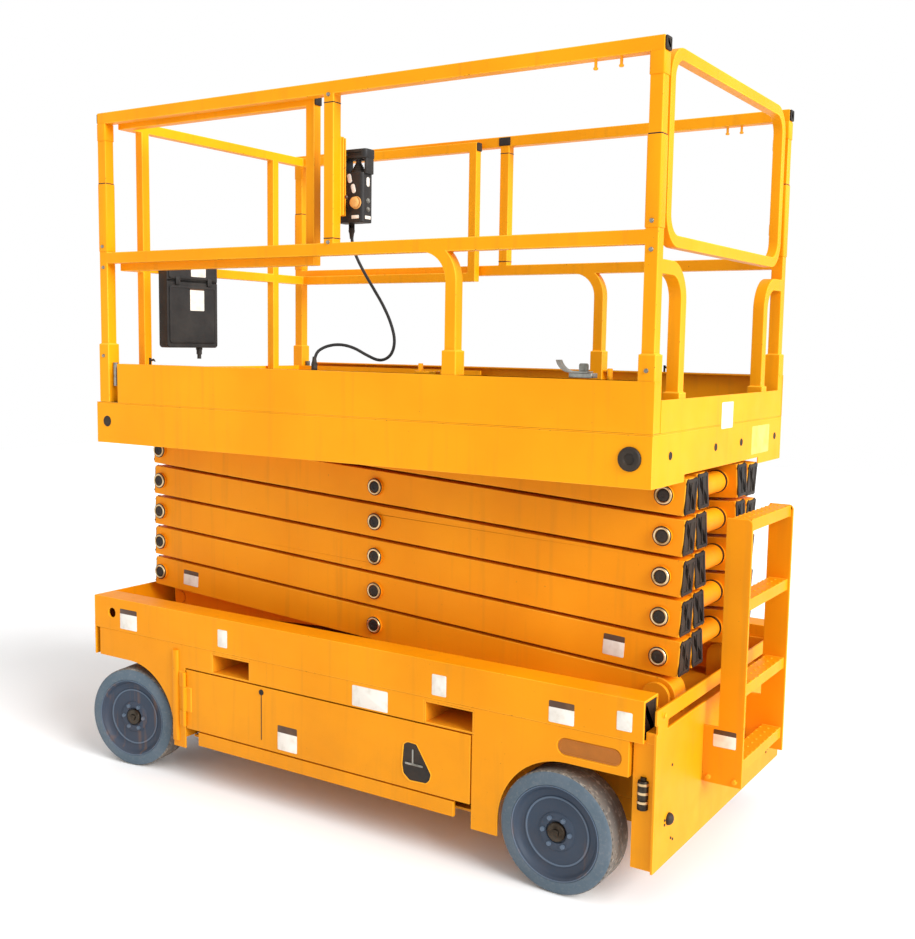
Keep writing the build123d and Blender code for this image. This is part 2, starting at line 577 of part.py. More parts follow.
for side, name in zip(SIDES, ("near", "far")):
    fixed_leaves = [leaf(side, z_range, -1) for z_range in (DOOR_HINGE_ZS[0], DOOR_HINGE_ZS[2])]
    with BuildPart() as skirt:
        # thin side panel with both wheel arches, cut open for the door and the guard
        with BuildSketch(side_plane(side * SKIRT_OUT_Y)):
            with Locations(((FRONT_SKIRT_LEFT_X + FENDER_END_X) / 2, (SKIRT_BOTTOM_Z + SKIRT_TOP_Z) / 2)):
                Rectangle(FENDER_END_X - FRONT_SKIRT_LEFT_X, SKIRT_TOP_Z - SKIRT_BOTTOM_Z)
            # front arch: round at the back, open to the front
            with Locations((FRONT_ARCH_X - ARCH_R, ARCH_TOP_Z - ARCH_R)):
                Circle(ARCH_R, mode=Mode.SUBTRACT)
            with Locations(((FRONT_ARCH_X + RAIL_LEFT_X) / 2, (ARCH_TOP_Z - ARCH_R) / 2)):
                Rectangle(FRONT_ARCH_X - RAIL_LEFT_X, ARCH_TOP_Z - ARCH_R, mode=Mode.SUBTRACT)
            with Locations(((FRONT_ARCH_X - ARCH_R + RAIL_LEFT_X) / 2, ARCH_TOP_Z / 2)):
                Rectangle(FRONT_ARCH_X - ARCH_R - RAIL_LEFT_X, ARCH_TOP_Z, mode=Mode.SUBTRACT)
            # rear arch: round at the front, open to the back
            with Locations((REAR_ARCH_X + ARCH_R, ARCH_TOP_Z - ARCH_R)):
                Circle(ARCH_R, mode=Mode.SUBTRACT)
            with Locations(((REAR_ARCH_X + LADDER_OUT_X) / 2, (ARCH_TOP_Z - ARCH_R) / 2)):
                Rectangle(LADDER_OUT_X - REAR_ARCH_X, ARCH_TOP_Z - ARCH_R, mode=Mode.SUBTRACT)
            with Locations(((REAR_ARCH_X + ARCH_R + LADDER_OUT_X) / 2, ARCH_TOP_Z / 2)):
                Rectangle(LADDER_OUT_X - REAR_ARCH_X - ARCH_R, ARCH_TOP_Z, mode=Mode.SUBTRACT)
            # doorway, open at the bottom for the guard, and the mouths of the fork pockets
            with Locations(((DOOR_LEFT_X + DOOR_RIGHT_X) / 2, DOORWAY_TOP_Z / 2)):
                Rectangle(DOOR_RIGHT_X - DOOR_LEFT_X + 2 * DOOR_GAP, DOORWAY_TOP_Z, mode=Mode.SUBTRACT)
            for pocket_x in POCKET_XS:
                with Locations((pocket_x, POCKET_TOP_Z - POCKET_HEIGHT / 2)):
                    Rectangle(
                        POCKET_WIDTH + 2 * RUN_GAP, POCKET_HEIGHT + 2 * RUN_GAP, mode=Mode.SUBTRACT
                    )
        extrude(amount=side * SKIRT_THICK)
        # fender box over the rear wheel
        fender_plane = side_plane(side * (SKIRT_OUT_Y - SKIRT_THICK / 2))
        with BuildSketch(fender_plane):
            with Locations(((REAR_ARCH_X + ARCH_R + FENDER_END_X) / 2, (ARCH_TOP_Z + SKIRT_TOP_Z) / 2)):
                Rectangle(FENDER_END_X - REAR_ARCH_X - ARCH_R, SKIRT_TOP_Z - ARCH_TOP_Z)
        extrude(amount=side * (FENDER_DEPTH - SKIRT_THICK / 2))
        # bulkheads at both ends of the doorway, in to the spine
        for post_x, outward in ((DOOR_LEFT_X - DOOR_GAP, -1), (DOOR_RIGHT_X + DOOR_GAP, 1)):
            with BuildSketch(fender_plane):
                with Locations((post_x + outward * TUB_PLATE / 2, (BULKHEAD_BOTTOM_Z + DOORWAY_TOP_Z) / 2)):
                    Rectangle(TUB_PLATE, DOORWAY_TOP_Z - BULKHEAD_BOTTOM_Z)
            extrude(amount=side * (SKIRT_OUT_Y - SKIRT_THICK / 2 - TUB_HALF - RUN_GAP))
        # fixed leaves of the door's hinge, round one long pin
        add(fixed_leaves)
        with BuildSketch(Plane.XY.offset(DOOR_HINGE_ZS[0][0])):
            with Locations((HINGE_X, side * HINGE_Y)):
                Circle(HINGE_PIN_R)
        extrude(amount=DOOR_HINGE_ZS[2][1] - DOOR_HINGE_ZS[0][0])
    save(skirt.part, f"side_skirt_{name}")

GUSSET_LEFT_X = BACK_PLATE_X + BACK_PLATE_THICK + RUN_GAP
CHEEK_LEFT_X = FENDER_END_X + DOOR_GAP
CHEEK_OUT_Y = SKIRT_OUT_Y - 18.0

with BuildPart() as end_plates:
    # plate across the steered end, over the rails' open ends
    with BuildSketch(end_plane(RAIL_LEFT_X - RUN_GAP)):
        with Locations((0, (ARCH_TOP_Z + RAIL_TOP_Z) / 2)):
            Rectangle(2 * RAIL_OUT_Y, RAIL_TOP_Z - ARCH_TOP_Z)
    extrude(amount=-SKIRT_THICK)
    # plate across the ladder end, with cheeks in to the fenders
    with BuildSketch(end_plane(BACK_PLATE_X)):
        with Locations((0, (BACK_PLATE_BOTTOM_Z + BACK_PLATE_TOP_Z) / 2)):
            Rectangle(2 * DECK_HALF_WIDTH, BACK_PLATE_TOP_Z - BACK_PLATE_BOTTOM_Z)
    extrude(amount=BACK_PLATE_THICK)
    # bar above it, on an upright at each side
    with BuildSketch(end_plane(BACK_PLATE_X)):
        with Locations((0, sum(END_BAR_ZS) / 2)):
            Rectangle(2 * DECK_HALF_WIDTH, END_BAR_ZS[1] - END_BAR_ZS[0])
        for side in SIDES:
            with Locations((side * RAIL_MID_Y, (BACK_PLATE_TOP_Z + END_BAR_ZS[1]) / 2)):
                Rectangle(RAIL_WIDTH - 4 * RAIL_WALL, END_BAR_ZS[1] - BACK_PLATE_TOP_Z)
    extrude(amount=BACK_PLATE_THICK)
    for side in SIDES:
        with BuildSketch(end_plane(BACK_PLATE_X)):
            with Locations((side * (CHEEK_OUT_Y - TUB_PLATE / 2), (BACK_PLATE_BOTTOM_Z + SKIRT_TOP_Z) / 2)):
                Rectangle(TUB_PLATE, SKIRT_TOP_Z - BACK_PLATE_BOTTOM_Z)
        extrude(amount=-(BACK_PLATE_X - CHEEK_LEFT_X))
    # brackets that tie the ladder end to the rails
    for side in SIDES:
        with BuildSketch(end_plane(RAIL_RIGHT_X + RUN_GAP)):
            with Locations((side * RAIL_MID_Y, (RAIL_BOTTOM_Z + BACK_PLATE_TOP_Z) / 2)):
                Rectangle(RAIL_WIDTH - 4 * RAIL_WALL, BACK_PLATE_TOP_Z - RAIL_BOTTOM_Z)
        extrude(amount=BACK_PLATE_X - RAIL_RIGHT_X)
save(end_plates.part, "end_plates")

# ---------------------------------------------------------------- ladder
RUNG_DEPTH = LADDER_DEPTH - 2 * RUNG_INSET
rung_x = LADDER_OUT_X - LADDER_DEPTH / 2

with BuildPart() as ladder:
    for side in SIDES:
        # stile with a rounded top, and a gusset that stands off the back plate
        with BuildSketch(side_plane(side * LADDER_HALF)) as stile:
            with Locations(((2 * LADDER_OUT_X - LADDER_DEPTH) / 2, (LADDER_BOTTOM_Z + LADDER_TOP_Z) / 2)):
                Rectangle(LADDER_DEPTH, LADDER_TOP_Z - LADDER_BOTTOM_Z)
            with Locations(((GUSSET_LEFT_X + LADDER_OUT_X) / 2, (LADDER_BOTTOM_Z + GUSSET_TOP_Z) / 2)):
                Rectangle(LADDER_OUT_X - GUSSET_LEFT_X, GUSSET_TOP_Z - LADDER_BOTTOM_Z)
            top_corners = stile.vertices().group_by(Axis.Y)[-1].sort_by(Axis.X)
            fillet(top_corners[-1:], radius=LADDER_CORNER_R)
        extrude(amount=side * STILE_THICK)
    for rung_z in RUNG_ZS:
        # folded rung, open below
        with BuildSketch(side_plane(0)):
            with Locations((rung_x, rung_z)):
                Rectangle(RUNG_DEPTH, RUNG_HEIGHT)
            with Locations((rung_x, rung_z - PANEL_THICK)):
                Rectangle(RUNG_DEPTH - 2 * PANEL_THICK, RUNG_HEIGHT, mode=Mode.SUBTRACT)
        extrude(amount=LADDER_HALF - STILE_THICK / 2, both=True)
save(ladder.part, "ladder")

# ---------------------------------------------------------------- feet of the stack
TRACK_HALF = ROLLER_R + TRACK_PLAY
WEB_Y = 62.0                 # inner face of the base tracks' webs
FLANGE_Y = 122.0
LUG_R = 45.0
LUG_THICK = 14.0
LUG_GAP = 8.0                # between a lug and the arm's side
TRACK_FEET_XS = (-1120.0, -800.0, -250.0, -20.0)
TRACK_FOOT = 60.0
TRACK_LEFT_X = PIN_LEFT_X - ROLLER_R - DOOR_GAP
PAN_TOP_Z = PAN_Z + TUB_PLATE + RUN_GAP

with BuildPart() as scissor_base:
    for side in SIDES:
        # channel that the lower rollers run in
        with BuildSketch(end_plane(TRACK_LEFT_X)):
            with Locations((side * (WEB_Y + FLANGE_Y) / 2, BASE_PIN_Z)):
                Rectangle(FLANGE_Y - WEB_Y, 2 * TRACK_HALF + 2 * TRACK_WALL)
            with Locations((side * (WEB_Y + FLANGE_Y + TRACK_WALL) / 2, BASE_PIN_Z)):
                Rectangle(FLANGE_Y - WEB_Y, 2 * TRACK_HALF, mode=Mode.SUBTRACT)
        extrude(amount=TRACK_END_X - TRACK_LEFT_X)
        for foot_x in TRACK_FEET_XS:
            with BuildSketch(Plane.XY.offset(PAN_TOP_Z)):
                with Locations((foot_x, side * (WEB_Y + FLANGE_Y) / 2)):
                    Rectangle(TRACK_FOOT, FLANGE_Y - WEB_Y)
            extrude(amount=BASE_PIN_Z - TRACK_HALF - TRACK_WALL / 2 - PAN_TOP_Z)
        # pair of lugs and the pin of the lowest outer arm
        for lug_y in (STACK_HALF + LUG_GAP, OUTER_Y - ARM_WIDTH / 2 - LUG_GAP - LUG_THICK):
            with BuildSketch(side_plane(side * lug_y)):
                with Locations((PIN_RIGHT_X, BASE_PIN_Z)):
                    Circle(LUG_R)
                with Locations((PIN_RIGHT_X, (PAN_TOP_Z + BASE_PIN_Z) / 2)):
                    Rectangle(2 * LUG_R, BASE_PIN_Z - PAN_TOP_Z)
            extrude(amount=-side * LUG_THICK)
        with BuildSketch(side_plane(side * (OUTER_Y - ARM_WIDTH / 2 - LUG_GAP - LUG_THICK / 2))):
            with Locations((PIN_RIGHT_X, BASE_PIN_Z)):
                Circle(PIN_R)
        extrude(amount=-side * (ARM_WIDTH + 2 * LUG_GAP + LUG_THICK))
save(scissor_base.part, "scissor_base")

# ---------------------------------------------------------------- power units in the side bays
UNIT_IN_Y = TUB_HALF + 7.0
UNIT_OUT_Y = HANGER_IN_Y - 12.0
BATTERY_X = (-610.0, 340.0)
HYDRAULIC_X = (-520.0, 120.0)
UNIT_TOP_Z = POCKET_TOP_Z - POCKET_HEIGHT - DOOR_GAP

with BuildPart() as power_units:
    for side, (left_x, right_x) in zip(SIDES, (HYDRAULIC_X, BATTERY_X)):
        with BuildSketch(Plane.XY.offset(TUB_FLOOR_Z + TUB_PLATE + RUN_GAP)):
            with Locations(((left_x + right_x) / 2, side * (UNIT_IN_Y + UNIT_OUT_Y) / 2)):
                Rectangle(right_x - left_x, UNIT_OUT_Y - UNIT_IN_Y)
        extrude(amount=UNIT_TOP_Z - TUB_FLOOR_Z - TUB_PLATE)
save(power_units.part, "power_units")

# ---------------------------------------------------------------- doors and pothole guards
for side, name in zip(SIDES, ("near", "far")):
    turning_leaf = leaf(side, DOOR_HINGE_ZS[1], 1)
    with BuildPart() as door:
        # folded door, hollow behind, with its hinge barrel
        with BuildSketch(side_plane(side * SKIRT_OUT_Y)):
            with Locations(((DOOR_LEFT_X + DOOR_RIGHT_X) / 2, (DOOR_BOTTOM_Z + DOOR_TOP_Z) / 2)):
                Rectangle(DOOR_RIGHT_X - DOOR_LEFT_X, DOOR_TOP_Z - DOOR_BOTTOM_Z)
        extrude(amount=side * DOOR_THICK)
        with BuildSketch(side_plane(side * (SKIRT_OUT_Y - PANEL_THICK))):
            with Locations(((DOOR_LEFT_X + DOOR_RIGHT_X) / 2, (DOOR_BOTTOM_Z + DOOR_TOP_Z) / 2)):
                Rectangle(
                    DOOR_RIGHT_X - DOOR_LEFT_X - 2 * PANEL_THICK,
                    DOOR_TOP_Z - DOOR_BOTTOM_Z - 2 * PANEL_THICK,
                )
        extrude(amount=side * DOOR_THICK, mode=Mode.SUBTRACT)
        add(turning_leaf)
        with BuildSketch(Plane.XY.offset(DOOR_HINGE_ZS[0][0])):
            with Locations((HINGE_X, side * HINGE_Y)):
                Circle(HINGE_PIN_R + PIN_GAP)
        extrude(amount=DOOR_HINGE_ZS[2][1] - DOOR_HINGE_ZS[0][0], mode=Mode.SUBTRACT)
    save(door.part, f"door_{name}")

    with BuildPart() as guard:
        # drop-down guard below the door, on two hangers
        with BuildSketch(side_plane(side * SKIRT_OUT_Y)):
            with Locations(((DOOR_LEFT_X + DOOR_RIGHT_X) / 2, (GUARD_BOTTOM_Z + GUARD_TOP_Z) / 2)):
                Rectangle(DOOR_RIGHT_X - DOOR_LEFT_X - 2 * GUARD_END_IN, GUARD_TOP_Z - GUARD_BOTTOM_Z)
        extrude(amount=side * DOOR_THICK / 2)
        for hanger_x in (DOOR_LEFT_X + 3 * GUARD_END_IN, DOOR_RIGHT_X - 3 * GUARD_END_IN):
            with BuildSketch(side_plane(side * SKIRT_OUT_Y)):
                with Locations((hanger_x, (GUARD_BOTTOM_Z + GUARD_TOP_Z) / 2 - HANGER_THICK)):
                    Rectangle(GUARD_END_IN, HANGER_THICK)
            extrude(amount=side * (SKIRT_OUT_Y - HANGER_IN_Y))
            with BuildSketch(side_plane(side * (HANGER_IN_Y + HANGER_THICK))):
                with Locations((hanger_x, (GUARD_BOTTOM_Z + HANGER_TOP_Z) / 2)):
                    Rectangle(GUARD_END_IN, HANGER_TOP_Z - GUARD_BOTTOM_Z)
            extrude(amount=side * HANGER_THICK)
    save(guard.part, f"guard_{name}")

# ---------------------------------------------------------------- scissor stack
ARM_HALF_HEIGHT = ARM_HEIGHT / 2
CAVITY_HEIGHT = ARM_HEIGHT - 2 * ARM_WALL
CAVITY_WIDTH = ARM_WIDTH - 2 * ARM_WALL


def across(x, z, radius, start_y, end_y):
    """Round bar across the machine, on one side or right through it."""
    with BuildPart() as bar:
        with BuildSketch(side_plane(start_y)):
            with Locations((x, z)):
                Circle(radius)
        extrude(amount=start_y - end_y)
    return bar.part


DECK_ROLLER_IN_Y = 343.0
TOP_ROLLER_OUT_Y = DECK_ROLLER_IN_Y + ROLLER_WIDTH
PIN_PROUD = 4.0              # of a stub pin past the arm's side
TOP_PIN_IN_Y = OUTER_Y - ARM_WIDTH / 2 - PIN_PROUD


def arm(level, y, rises):
    """One box arm, hollow at its open ends and bored for its three pins."""
    # an arm that turns inside the chassis or the deck has a closed, round right end
    inside_frame = level == (LEVELS if rises else 1)
    left_end = -ARM_LENGTH / 2 - END_SHORT
    right_end = ARM_LENGTH / 2 + (0 if inside_frame else END_LONG)
    open_ends = [(left_end, 1)] if inside_frame else [(left_end, 1), (right_end, -1)]
    middle = arm_plane(level, y, rises)
    outer_face = arm_plane(level, y - ARM_WIDTH / 2, rises)
    with BuildPart() as piece:
        with BuildSketch(middle):
            with Locations(((left_end + right_end) / 2, 0)):
                Rectangle(right_end - left_end, ARM_HEIGHT)
            if inside_frame:
                with Locations((right_end, 0)):
                    Circle(ARM_HEIGHT / 2)
        extrude(amount=ARM_WIDTH / 2, both=True)
        with BuildSketch(middle):
            for end, inward in open_ends:
                with Locations((end + inward * OPEN_END_DEPTH / 2, 0)):
                    Rectangle(OPEN_END_DEPTH, CAVITY_HEIGHT)
        extrude(amount=CAVITY_WIDTH / 2, both=True, mode=Mode.SUBTRACT)
        with BuildSketch(outer_face):
            with Locations((-ARM_LENGTH / 2, 0), (0, 0), (ARM_LENGTH / 2, 0)):
                Circle(PIN_R + PIN_GAP)
        extrude(amount=-ARM_WIDTH, mode=Mode.SUBTRACT)
    return piece.part


for level in range(1, LEVELS + 1):
    outer_pieces = [arm(level, side * OUTER_Y, rises=False) for side in SIDES]
    if level == LEVELS:
        # pin and roller that run in the deck's channels
        top_z = pin_height(level)
        for side in SIDES:
            roller_out_y = side * TOP_ROLLER_OUT_Y
            outer_pieces.append(across(PIN_LEFT_X, top_z, PIN_R, side * TOP_PIN_IN_Y, roller_out_y))
            outer_pieces.append(across(PIN_LEFT_X, top_z, ROLLER_R, side * DECK_ROLLER_IN_Y, roller_out_y))
    with BuildPart() as outer_arms:
        add(outer_pieces)
    save(outer_arms.part, f"outer_arms_{level}")

    inner_pieces = [arm(level, side * INNER_Y, rises=True) for side in SIDES]
    with BuildPart() as inner_arms:
        add(inner_pieces)
    save(inner_arms.part, f"inner_arms_{level}")

# ---------------------------------------------------------------- pins of the stack
SHAFT_HALF = INNER_FACE_Y - RUN_GAP
CAP_IN_Y = STACK_HALF + RUN_GAP
COLLAR_THICK = 6.0           # cap on a pin's inner end
BASE_ROLLER_IN_Y = FLANGE_Y - ROLLER_WIDTH
DECK_LUG_IN_Y = 240.0        # inner face of the deck's lugs
DECK_LUG_THICK = 22.0


def bracket_plane(level, y):
    """Plane along a rising arm whose origin is at the rod's eye."""
    eye_x, eye_z = point_on_arm(level, EYE_SHARE, rises=True)
    slope = math.radians(ARM_ANGLE)
    return Plane(origin=(eye_x, y, eye_z), x_dir=(math.cos(slope), 0, math.sin(slope)), z_dir=(0, -1, 0))


BRACKET_IN_Y = 60.0
BRACKET_LEFT = -50.0
BRACKET_RIGHT = 390.0
BRACKET_HALF_HEIGHT = 35.0
CROSS_TUBE_AT = (350.0, 30.0)         # middle of the tube that ties a bracket to its arms
CROSS_TUBE_R = 20.0

STUB_OUT_Y = INNER_FACE_Y + ARM_WIDTH + PIN_PROUD
CAP_OUT_Y = CAP_IN_Y + PIN_CAP_THICK
CAP_MID_Y = CAP_IN_Y + PIN_CAP_THICK / 2
COLLAR_IN_Y = SHAFT_HALF - COLLAR_THICK
COLLAR_MID_Y = SHAFT_HALF - COLLAR_THICK / 2

for level in range(1, LEVELS + 1):
    low_z = pin_height(level - 1)
    middle_z = low_z + PIN_PITCH / 2
    high_z = pin_height(level)
    # the high shaft is held by the arms above, the last one by the deck's lugs
    journal_y = DECK_LUG_IN_Y + DECK_LUG_THICK if level == LEVELS else STACK_HALF
    high_cap_y = journal_y + RUN_GAP
    high_cap_mid_y = high_cap_y + PIN_CAP_THICK / 2
    high_cap_out_y = high_cap_y + PIN_CAP_THICK
    bars = [across(PIN_RIGHT_X, high_z, SHAFT_R, -SHAFT_HALF, SHAFT_HALF)]
    if level > 1:
        bars.append(across(PIN_LEFT_X, low_z, SHAFT_R, -SHAFT_HALF, SHAFT_HALF))
    if level in LIFT_LEVELS:
        # pin of a lift cylinder's barrel
        barrel_x, barrel_z = point_on_arm(level, BARREL_SHARE, rises=True)
        bars.append(across(barrel_x, barrel_z, LIFT_PIN_R, -SHAFT_HALF, SHAFT_HALF))
    for side in SIDES:
        # middle pin through both arms, with a collar inside and a cap outside
        bars.append(across(PIN_MID_X, middle_z, PIN_R, side * COLLAR_MID_Y, side * CAP_MID_Y))
        bars.append(across(PIN_MID_X, middle_z, PIN_CAP_R, side * COLLAR_IN_Y, side * SHAFT_HALF))
        bars.append(across(PIN_MID_X, middle_z, PIN_CAP_R, side * CAP_IN_Y, side * CAP_OUT_Y))
        # journal and cap at the high end
        bars.append(across(PIN_RIGHT_X, high_z, PIN_R, side * COLLAR_MID_Y, side * high_cap_mid_y))
        bars.append(across(PIN_RIGHT_X, high_z, PIN_CAP_R, side * high_cap_y, side * high_cap_out_y))
        if level == 1:
            # stub shaft with the lower roller
            bars.append(across(PIN_LEFT_X, low_z, PIN_R, side * BASE_ROLLER_IN_Y, side * STUB_OUT_Y))
            bars.append(across(PIN_LEFT_X, low_z, ROLLER_R, side * BASE_ROLLER_IN_Y, side * FLANGE_Y))
        else:
            # journal and cap through the outer arm below
            bars.append(across(PIN_LEFT_X, low_z, PIN_R, side * COLLAR_MID_Y, side * CAP_MID_Y))
            bars.append(across(PIN_LEFT_X, low_z, PIN_CAP_R, side * CAP_IN_Y, side * CAP_OUT_Y))
    with BuildPart() as pivots:
        add(bars)
        if level - 2 in LIFT_LEVELS:
            # plates for the rod's eye, carried by a tube between the arms
            for side in SIDES:
                with BuildSketch(bracket_plane(level, side * BRACKET_IN_Y)):
                    with Locations(((BRACKET_LEFT + BRACKET_RIGHT) / 2, 0)):
                        Rectangle(BRACKET_RIGHT - BRACKET_LEFT, 2 * BRACKET_HALF_HEIGHT)
                extrude(amount=-side * BRACKET_THICK)
            with BuildSketch(bracket_plane(level, SHAFT_HALF)):
                with Locations(CROSS_TUBE_AT):
                    Circle(CROSS_TUBE_R)
            extrude(amount=2 * SHAFT_HALF)
    save(pivots.part, f"pivots_{level}")

# ---------------------------------------------------------------- lift cylinders
BARREL_NECK_R = 38.0
BARREL_NECK = 125.0
EYE_LUG_HALF = 50.0
ROD_INSIDE = 1000.0          # of the rod in the barrel when folded
ROD_END_GAP = 20.0

for place, level in zip(("lower", "upper"), LIFT_LEVELS):
    foot_x, foot_z = point_on_arm(level, BARREL_SHARE, rises=True)
    eye_x, eye_z = point_on_arm(level + 2, EYE_SHARE, rises=True)
    closed = math.hypot(eye_x - foot_x, eye_z - foot_z)
    along = ((eye_x - foot_x) / closed, 0, (eye_z - foot_z) / closed)
    # both planes have x along the cylinder, from the barrel's pin to the rod's eye
    half_plane = Plane(origin=(foot_x, 0, foot_z), x_dir=along, z_dir=(0, 1, 0))
    cylinder_axis = Axis((foot_x, 0, foot_z), along)
    gland = closed - BARREL_FREE
    with BuildPart() as barrel:
        with BuildSketch(half_plane):
            with BuildLine():
                Polyline(
                    (0, 0),
                    (0, BARREL_NECK_R),
                    (BARREL_NECK, BARREL_NECK_R),
                    (BARREL_NECK, BARREL_R),
                    (gland, BARREL_R),
                    (gland, ROD_R + PIN_GAP),
                    (gland - ROD_INSIDE - ROD_END_GAP, ROD_R + PIN_GAP),
                    (gland - ROD_INSIDE - ROD_END_GAP, 0),
                    close=True,
                )
            make_face()
        revolve(axis=cylinder_axis)
        with BuildSketch(half_plane.offset(-EYE_LUG_HALF)):
            Circle(EYE_R)
        extrude(amount=2 * EYE_LUG_HALF)
        with BuildSketch(half_plane.offset(-EYE_LUG_HALF)):
            Circle(LIFT_PIN_R + PIN_GAP)
        extrude(amount=2 * EYE_LUG_HALF, mode=Mode.SUBTRACT)
    save(barrel.part, f"barrel_{place}")

    with BuildPart() as rod:
        with BuildSketch(half_plane):
            with BuildLine():
                Polyline(
                    (gland - ROD_INSIDE, 0),
                    (gland - ROD_INSIDE, ROD_R),
                    (closed, ROD_R),
                    (closed, 0),
                    close=True,
                )
            make_face()
        revolve(axis=cylinder_axis)
        with BuildSketch(half_plane.offset(-EYE_HALF)):
            with Locations((closed, 0)):
                Circle(EYE_R)
        extrude(amount=2 * EYE_HALF)
        with BuildSketch(half_plane.offset(-EYE_HALF)):
            with Locations((closed, 0)):
                Circle(LIFT_PIN_R + PIN_GAP)
        extrude(amount=2 * EYE_HALF, mode=Mode.SUBTRACT)
    save(rod.part, f"rod_{place}")

# ---------------------------------------------------------------- deck
PANEL_TOP_Z = FLOOR_TOP_Z - FLOOR_THICK - RUN_GAP
TOP_PIN_Z = pin_height(LEVELS)
DECK_MID_X = (DECK_LEFT_X + DECK_RIGHT_X) / 2
DECK_LENGTH = DECK_RIGHT_X - DECK_LEFT_X
END_NOTCH_Z = 1268.0         # the end panels stay above the arms' ends
END_NOTCH_HALF = 340.0
CROSS_LEFT_X = 30.0
CROSS_WIDTH = 80.0
CROSS_BOTTOM_Z = 1371.0
DECK_WEB_Y = 390.0
DECK_FLANGE_Y = 341.0
DECK_TRACK_LEFT_X = -1180.0
DECK_TRACK_TOP_Z = TOP_PIN_Z + TRACK_HALF
DECK_TRACK_LOW_Z = TOP_PIN_Z - TRACK_HALF - TRACK_WALL
DECK_WEB_MID_Y = DECK_WEB_Y + TRACK_WALL / 2
TIE_IN_Y = DECK_WEB_Y + TRACK_WALL + RUN_GAP
TIE_OUT_Y = DECK_HALF_WIDTH - PANEL_THICK - RUN_GAP
DECK_LUG_HALF = 45.0

with BuildPart() as deck_frame:
    # ring of side and end panels
    with BuildSketch(Plane.XY.offset(DECK_BOTTOM_Z)):
        with Locations((DECK_MID_X, 0)):
            Rectangle(DECK_LENGTH, 2 * DECK_HALF_WIDTH)
            Rectangle(
                DECK_LENGTH - 2 * PANEL_THICK, 2 * DECK_HALF_WIDTH - 2 * PANEL_THICK, mode=Mode.SUBTRACT
            )
    extrude(amount=PANEL_TOP_Z - DECK_BOTTOM_Z)
    with BuildSketch(Plane.XY.offset(DECK_BOTTOM_Z)):
        with Locations((DECK_MID_X, 0)):
            Rectangle(DECK_LENGTH, 2 * END_NOTCH_HALF)
    extrude(amount=END_NOTCH_Z - DECK_BOTTOM_Z, mode=Mode.SUBTRACT)
    # cross member under the floor, and ties from the channels to the side panels
    with BuildSketch(Plane.XY.offset(CROSS_BOTTOM_Z)):
        with Locations((CROSS_LEFT_X + CROSS_WIDTH / 2, 0)):
            Rectangle(CROSS_WIDTH, 2 * TIE_OUT_Y)
        for tie_x in (DECK_TRACK_LEFT_X + CROSS_WIDTH, DECK_TRACK_LEFT_X / 2):
            for side in SIDES:
                with Locations((tie_x, side * (TIE_IN_Y + TIE_OUT_Y) / 2)):
                    Rectangle(CROSS_WIDTH, TIE_OUT_Y - TIE_IN_Y)
    extrude(amount=PANEL_TOP_Z - CROSS_BOTTOM_Z)
    for side in SIDES:
        # channel that the upper rollers run in, open towards the stack: a web and two flanges
        with BuildSketch(end_plane(DECK_TRACK_LEFT_X)):
            with Locations((side * DECK_WEB_MID_Y, (DECK_TRACK_LOW_Z + CROSS_BOTTOM_Z - RUN_GAP) / 2)):
                Rectangle(TRACK_WALL, CROSS_BOTTOM_Z - RUN_GAP - DECK_TRACK_LOW_Z)
            for flange_z in (DECK_TRACK_LOW_Z + TRACK_WALL / 2, DECK_TRACK_TOP_Z + TRACK_WALL / 2):
                with Locations((side * (DECK_FLANGE_Y + DECK_WEB_Y - RUN_GAP) / 2, flange_z)):
                    Rectangle(DECK_WEB_Y - RUN_GAP - DECK_FLANGE_Y, TRACK_WALL)
        extrude(amount=CROSS_LEFT_X + CROSS_WIDTH / 2 - DECK_TRACK_LEFT_X)
        # strip that hangs the channel from the floor
        with BuildSketch(end_plane(DECK_TRACK_LEFT_X)):
            with Locations((side * DECK_WEB_MID_Y, (CROSS_BOTTOM_Z + PANEL_TOP_Z) / 2)):
                Rectangle(TRACK_WALL, PANEL_TOP_Z - CROSS_BOTTOM_Z)
        extrude(amount=CROSS_LEFT_X - RUN_GAP - DECK_TRACK_LEFT_X)
        # lug that the stack's top shaft turns in
        with BuildSketch(side_plane(side * DECK_LUG_IN_Y)):
            with Locations((PIN_RIGHT_X, TOP_PIN_Z)):
                Circle(DECK_LUG_HALF)
            with Locations((PIN_RIGHT_X, (TOP_PIN_Z + PANEL_TOP_Z) / 2)):
                Rectangle(2 * DECK_LUG_HALF, PANEL_TOP_Z - TOP_PIN_Z)
            with Locations((PIN_RIGHT_X, TOP_PIN_Z)):
                Circle(PIN_R + PIN_GAP, mode=Mode.SUBTRACT)
        extrude(amount=-side * DECK_LUG_THICK)
save(deck_frame.part, "deck_frame")

SKID_WIDTH = 40.0
SKID_MID_X = DECK_LEFT_X + 28.0
SKID_HALF = 60.0
SKID_Y = RAIL_Y - 178.0
SKID_PLAY = 0.5
SKID_TOP_Z = EXT_FLOOR_Z - SKID_PLAY

with BuildPart() as deck_floor:
    with BuildSketch(Plane.XY.offset(FLOOR_TOP_Z - FLOOR_THICK)):
        with Locations((DECK_MID_X, 0)):
            Rectangle(DECK_LENGTH, 2 * DECK_HALF_WIDTH)
    extrude(amount=FLOOR_THICK)
    # skids that carry the sliding deck's floor
    with BuildSketch(Plane.XY.offset(FLOOR_TOP_Z)):
        for side in SIDES:
            with Locations((SKID_MID_X, side * SKID_Y)):
                Rectangle(SKID_WIDTH, 2 * SKID_HALF)
    extrude(amount=SKID_TOP_Z - FLOOR_TOP_Z)
save(deck_floor.part, "deck_floor")

TOE_BOTTOM_Z = FLOOR_TOP_Z + RUN_GAP
TOE_LENGTH = DECK_RIGHT_X - TOE_LEFT_X
NOTCH = SLEEVE + 2 * RUN_GAP

